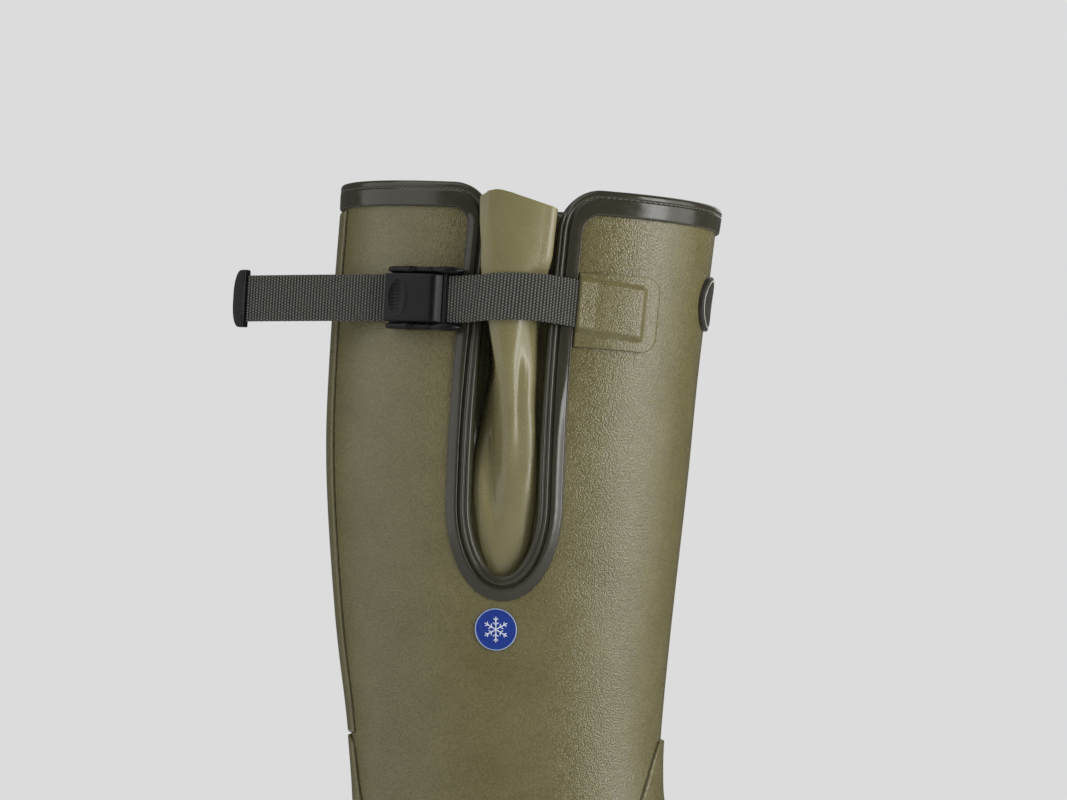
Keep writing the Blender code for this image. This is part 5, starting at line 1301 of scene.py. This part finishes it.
# Studio
# Pale floor, pale surround and soft boxes: a narrow one with a fill beside it on the toe's side, a broad one
# on the heel's side, one above and one behind. The camera looks a little up at the outer side of the shaft.
AIM = np.array((0.0521, 0.0, 0.3281))
CAMERA = {"azimuth": 7.0, "distance": 2.0, "height": 0.200, "lens": 155.5, "sensor": 36.0}
SURROUND = "#dcdcdc"
SURROUND_LIGHT = 0.12
FLOOR = {"radius": 1500.0, "sides": 96, "drop": 0.2, "cloud": 1000.0 / 3.0}
FLOOR_RINGS = np.array((0.0, 0.1, 0.3, 0.6, 1.0))
BOX_COLUMNS = ("azimuth", "elevation", "distance", "width", "tall", "power")
SOFT_BOXES = {
    "toe_side_box": (58.0, 5.0, 1.7, 0.6, 1.6, 19.5),
    "toe_side_fill": (84.0, 5.0, 1.7, 1.0, 1.6, 11.5),
    "heel_side_box": (-65.0, 8.0, 2.4, 3.3, 3.0, 33.0),
    "top_box": (-38.0, 52.0, 2.1, 2.0, 1.6, 12.0),
    "inner_side_box": (172.0, 30.0, 2.2, 1.8, 1.8, 10.0),
}


def from_aim(azimuth, elevation, distance):
    """Place at a distance from the aim: azimuth 0 is straight out from the outer side, plus to the toe."""
    turn, lift = math.radians(azimuth), math.radians(elevation)
    way = (math.cos(lift) * math.sin(turn), -math.cos(lift) * math.cos(turn), math.sin(lift))
    return AIM + distance * np.array(way)


def aim_object(item, place):
    """Puts a light or the camera at a place and turns it to the aim."""
    bpy.context.scene.collection.objects.link(item)
    item.location = place.tolist()
    item.rotation_euler = Vector((AIM - place).tolist()).to_track_quat("-Z", "Y").to_euler()


floor_turn = np.linspace(0.0, 2.0 * math.pi, FLOOR["sides"] + 1)
floor_reach = FLOOR_RINGS[:, None] * FLOOR["radius"]
floor_plan = (floor_reach * np.cos(floor_turn), floor_reach * np.sin(floor_turn))
floor_grid = np.stack((*floor_plan, np.full(floor_plan[0].shape, -FLOOR["drop"])), axis=-1)
# Matt painted board, very slightly clouded.
floor_finish = speckled("pale_studio_floor", "#f6f6f6", "#efefef", speck=FLOOR["cloud"], roughness=0.8)
floor = add_piece("studio_floor", [floor_grid], [floor_finish])

world = bpy.data.worlds.new("pale_surround")
world.use_nodes = True
bpy.context.scene.world = world
plug(world.node_tree.nodes["Background"], {
    "Color": linear(SURROUND),
    "Strength": add_node(world, "MapRange", {
        "Value": add_node(world, "LightPath", {})["Is Camera Ray"],
        "To Min": SURROUND_LIGHT})["Result"]})
for name, row in SOFT_BOXES.items():
    box = dict(zip(BOX_COLUMNS, row))
    lamp = bpy.data.lights.new(name, "AREA")
    lamp.shape = "RECTANGLE"
    lamp.size = box["width"]
    lamp.size_y = box["tall"]
    lamp.energy = box["power"]
    soft_box = bpy.data.objects.new(name, lamp)
    soft_box.visible_camera = False
    aim_object(soft_box, from_aim(box["azimuth"], box["elevation"], box["distance"]))

lens = bpy.data.cameras.new("photo_camera")
lens.lens = CAMERA["lens"]
lens.sensor_width = CAMERA["sensor"]
lens.sensor_fit = "HORIZONTAL"
camera = bpy.data.objects.new("photo_camera", lens)
camera_place = from_aim(CAMERA["azimuth"], 0.0, CAMERA["distance"])
camera_place[2] = CAMERA["height"]
aim_object(camera, camera_place)
bpy.context.scene.camera = camera
bpy.context.scene.view_settings.view_transform = "Standard"
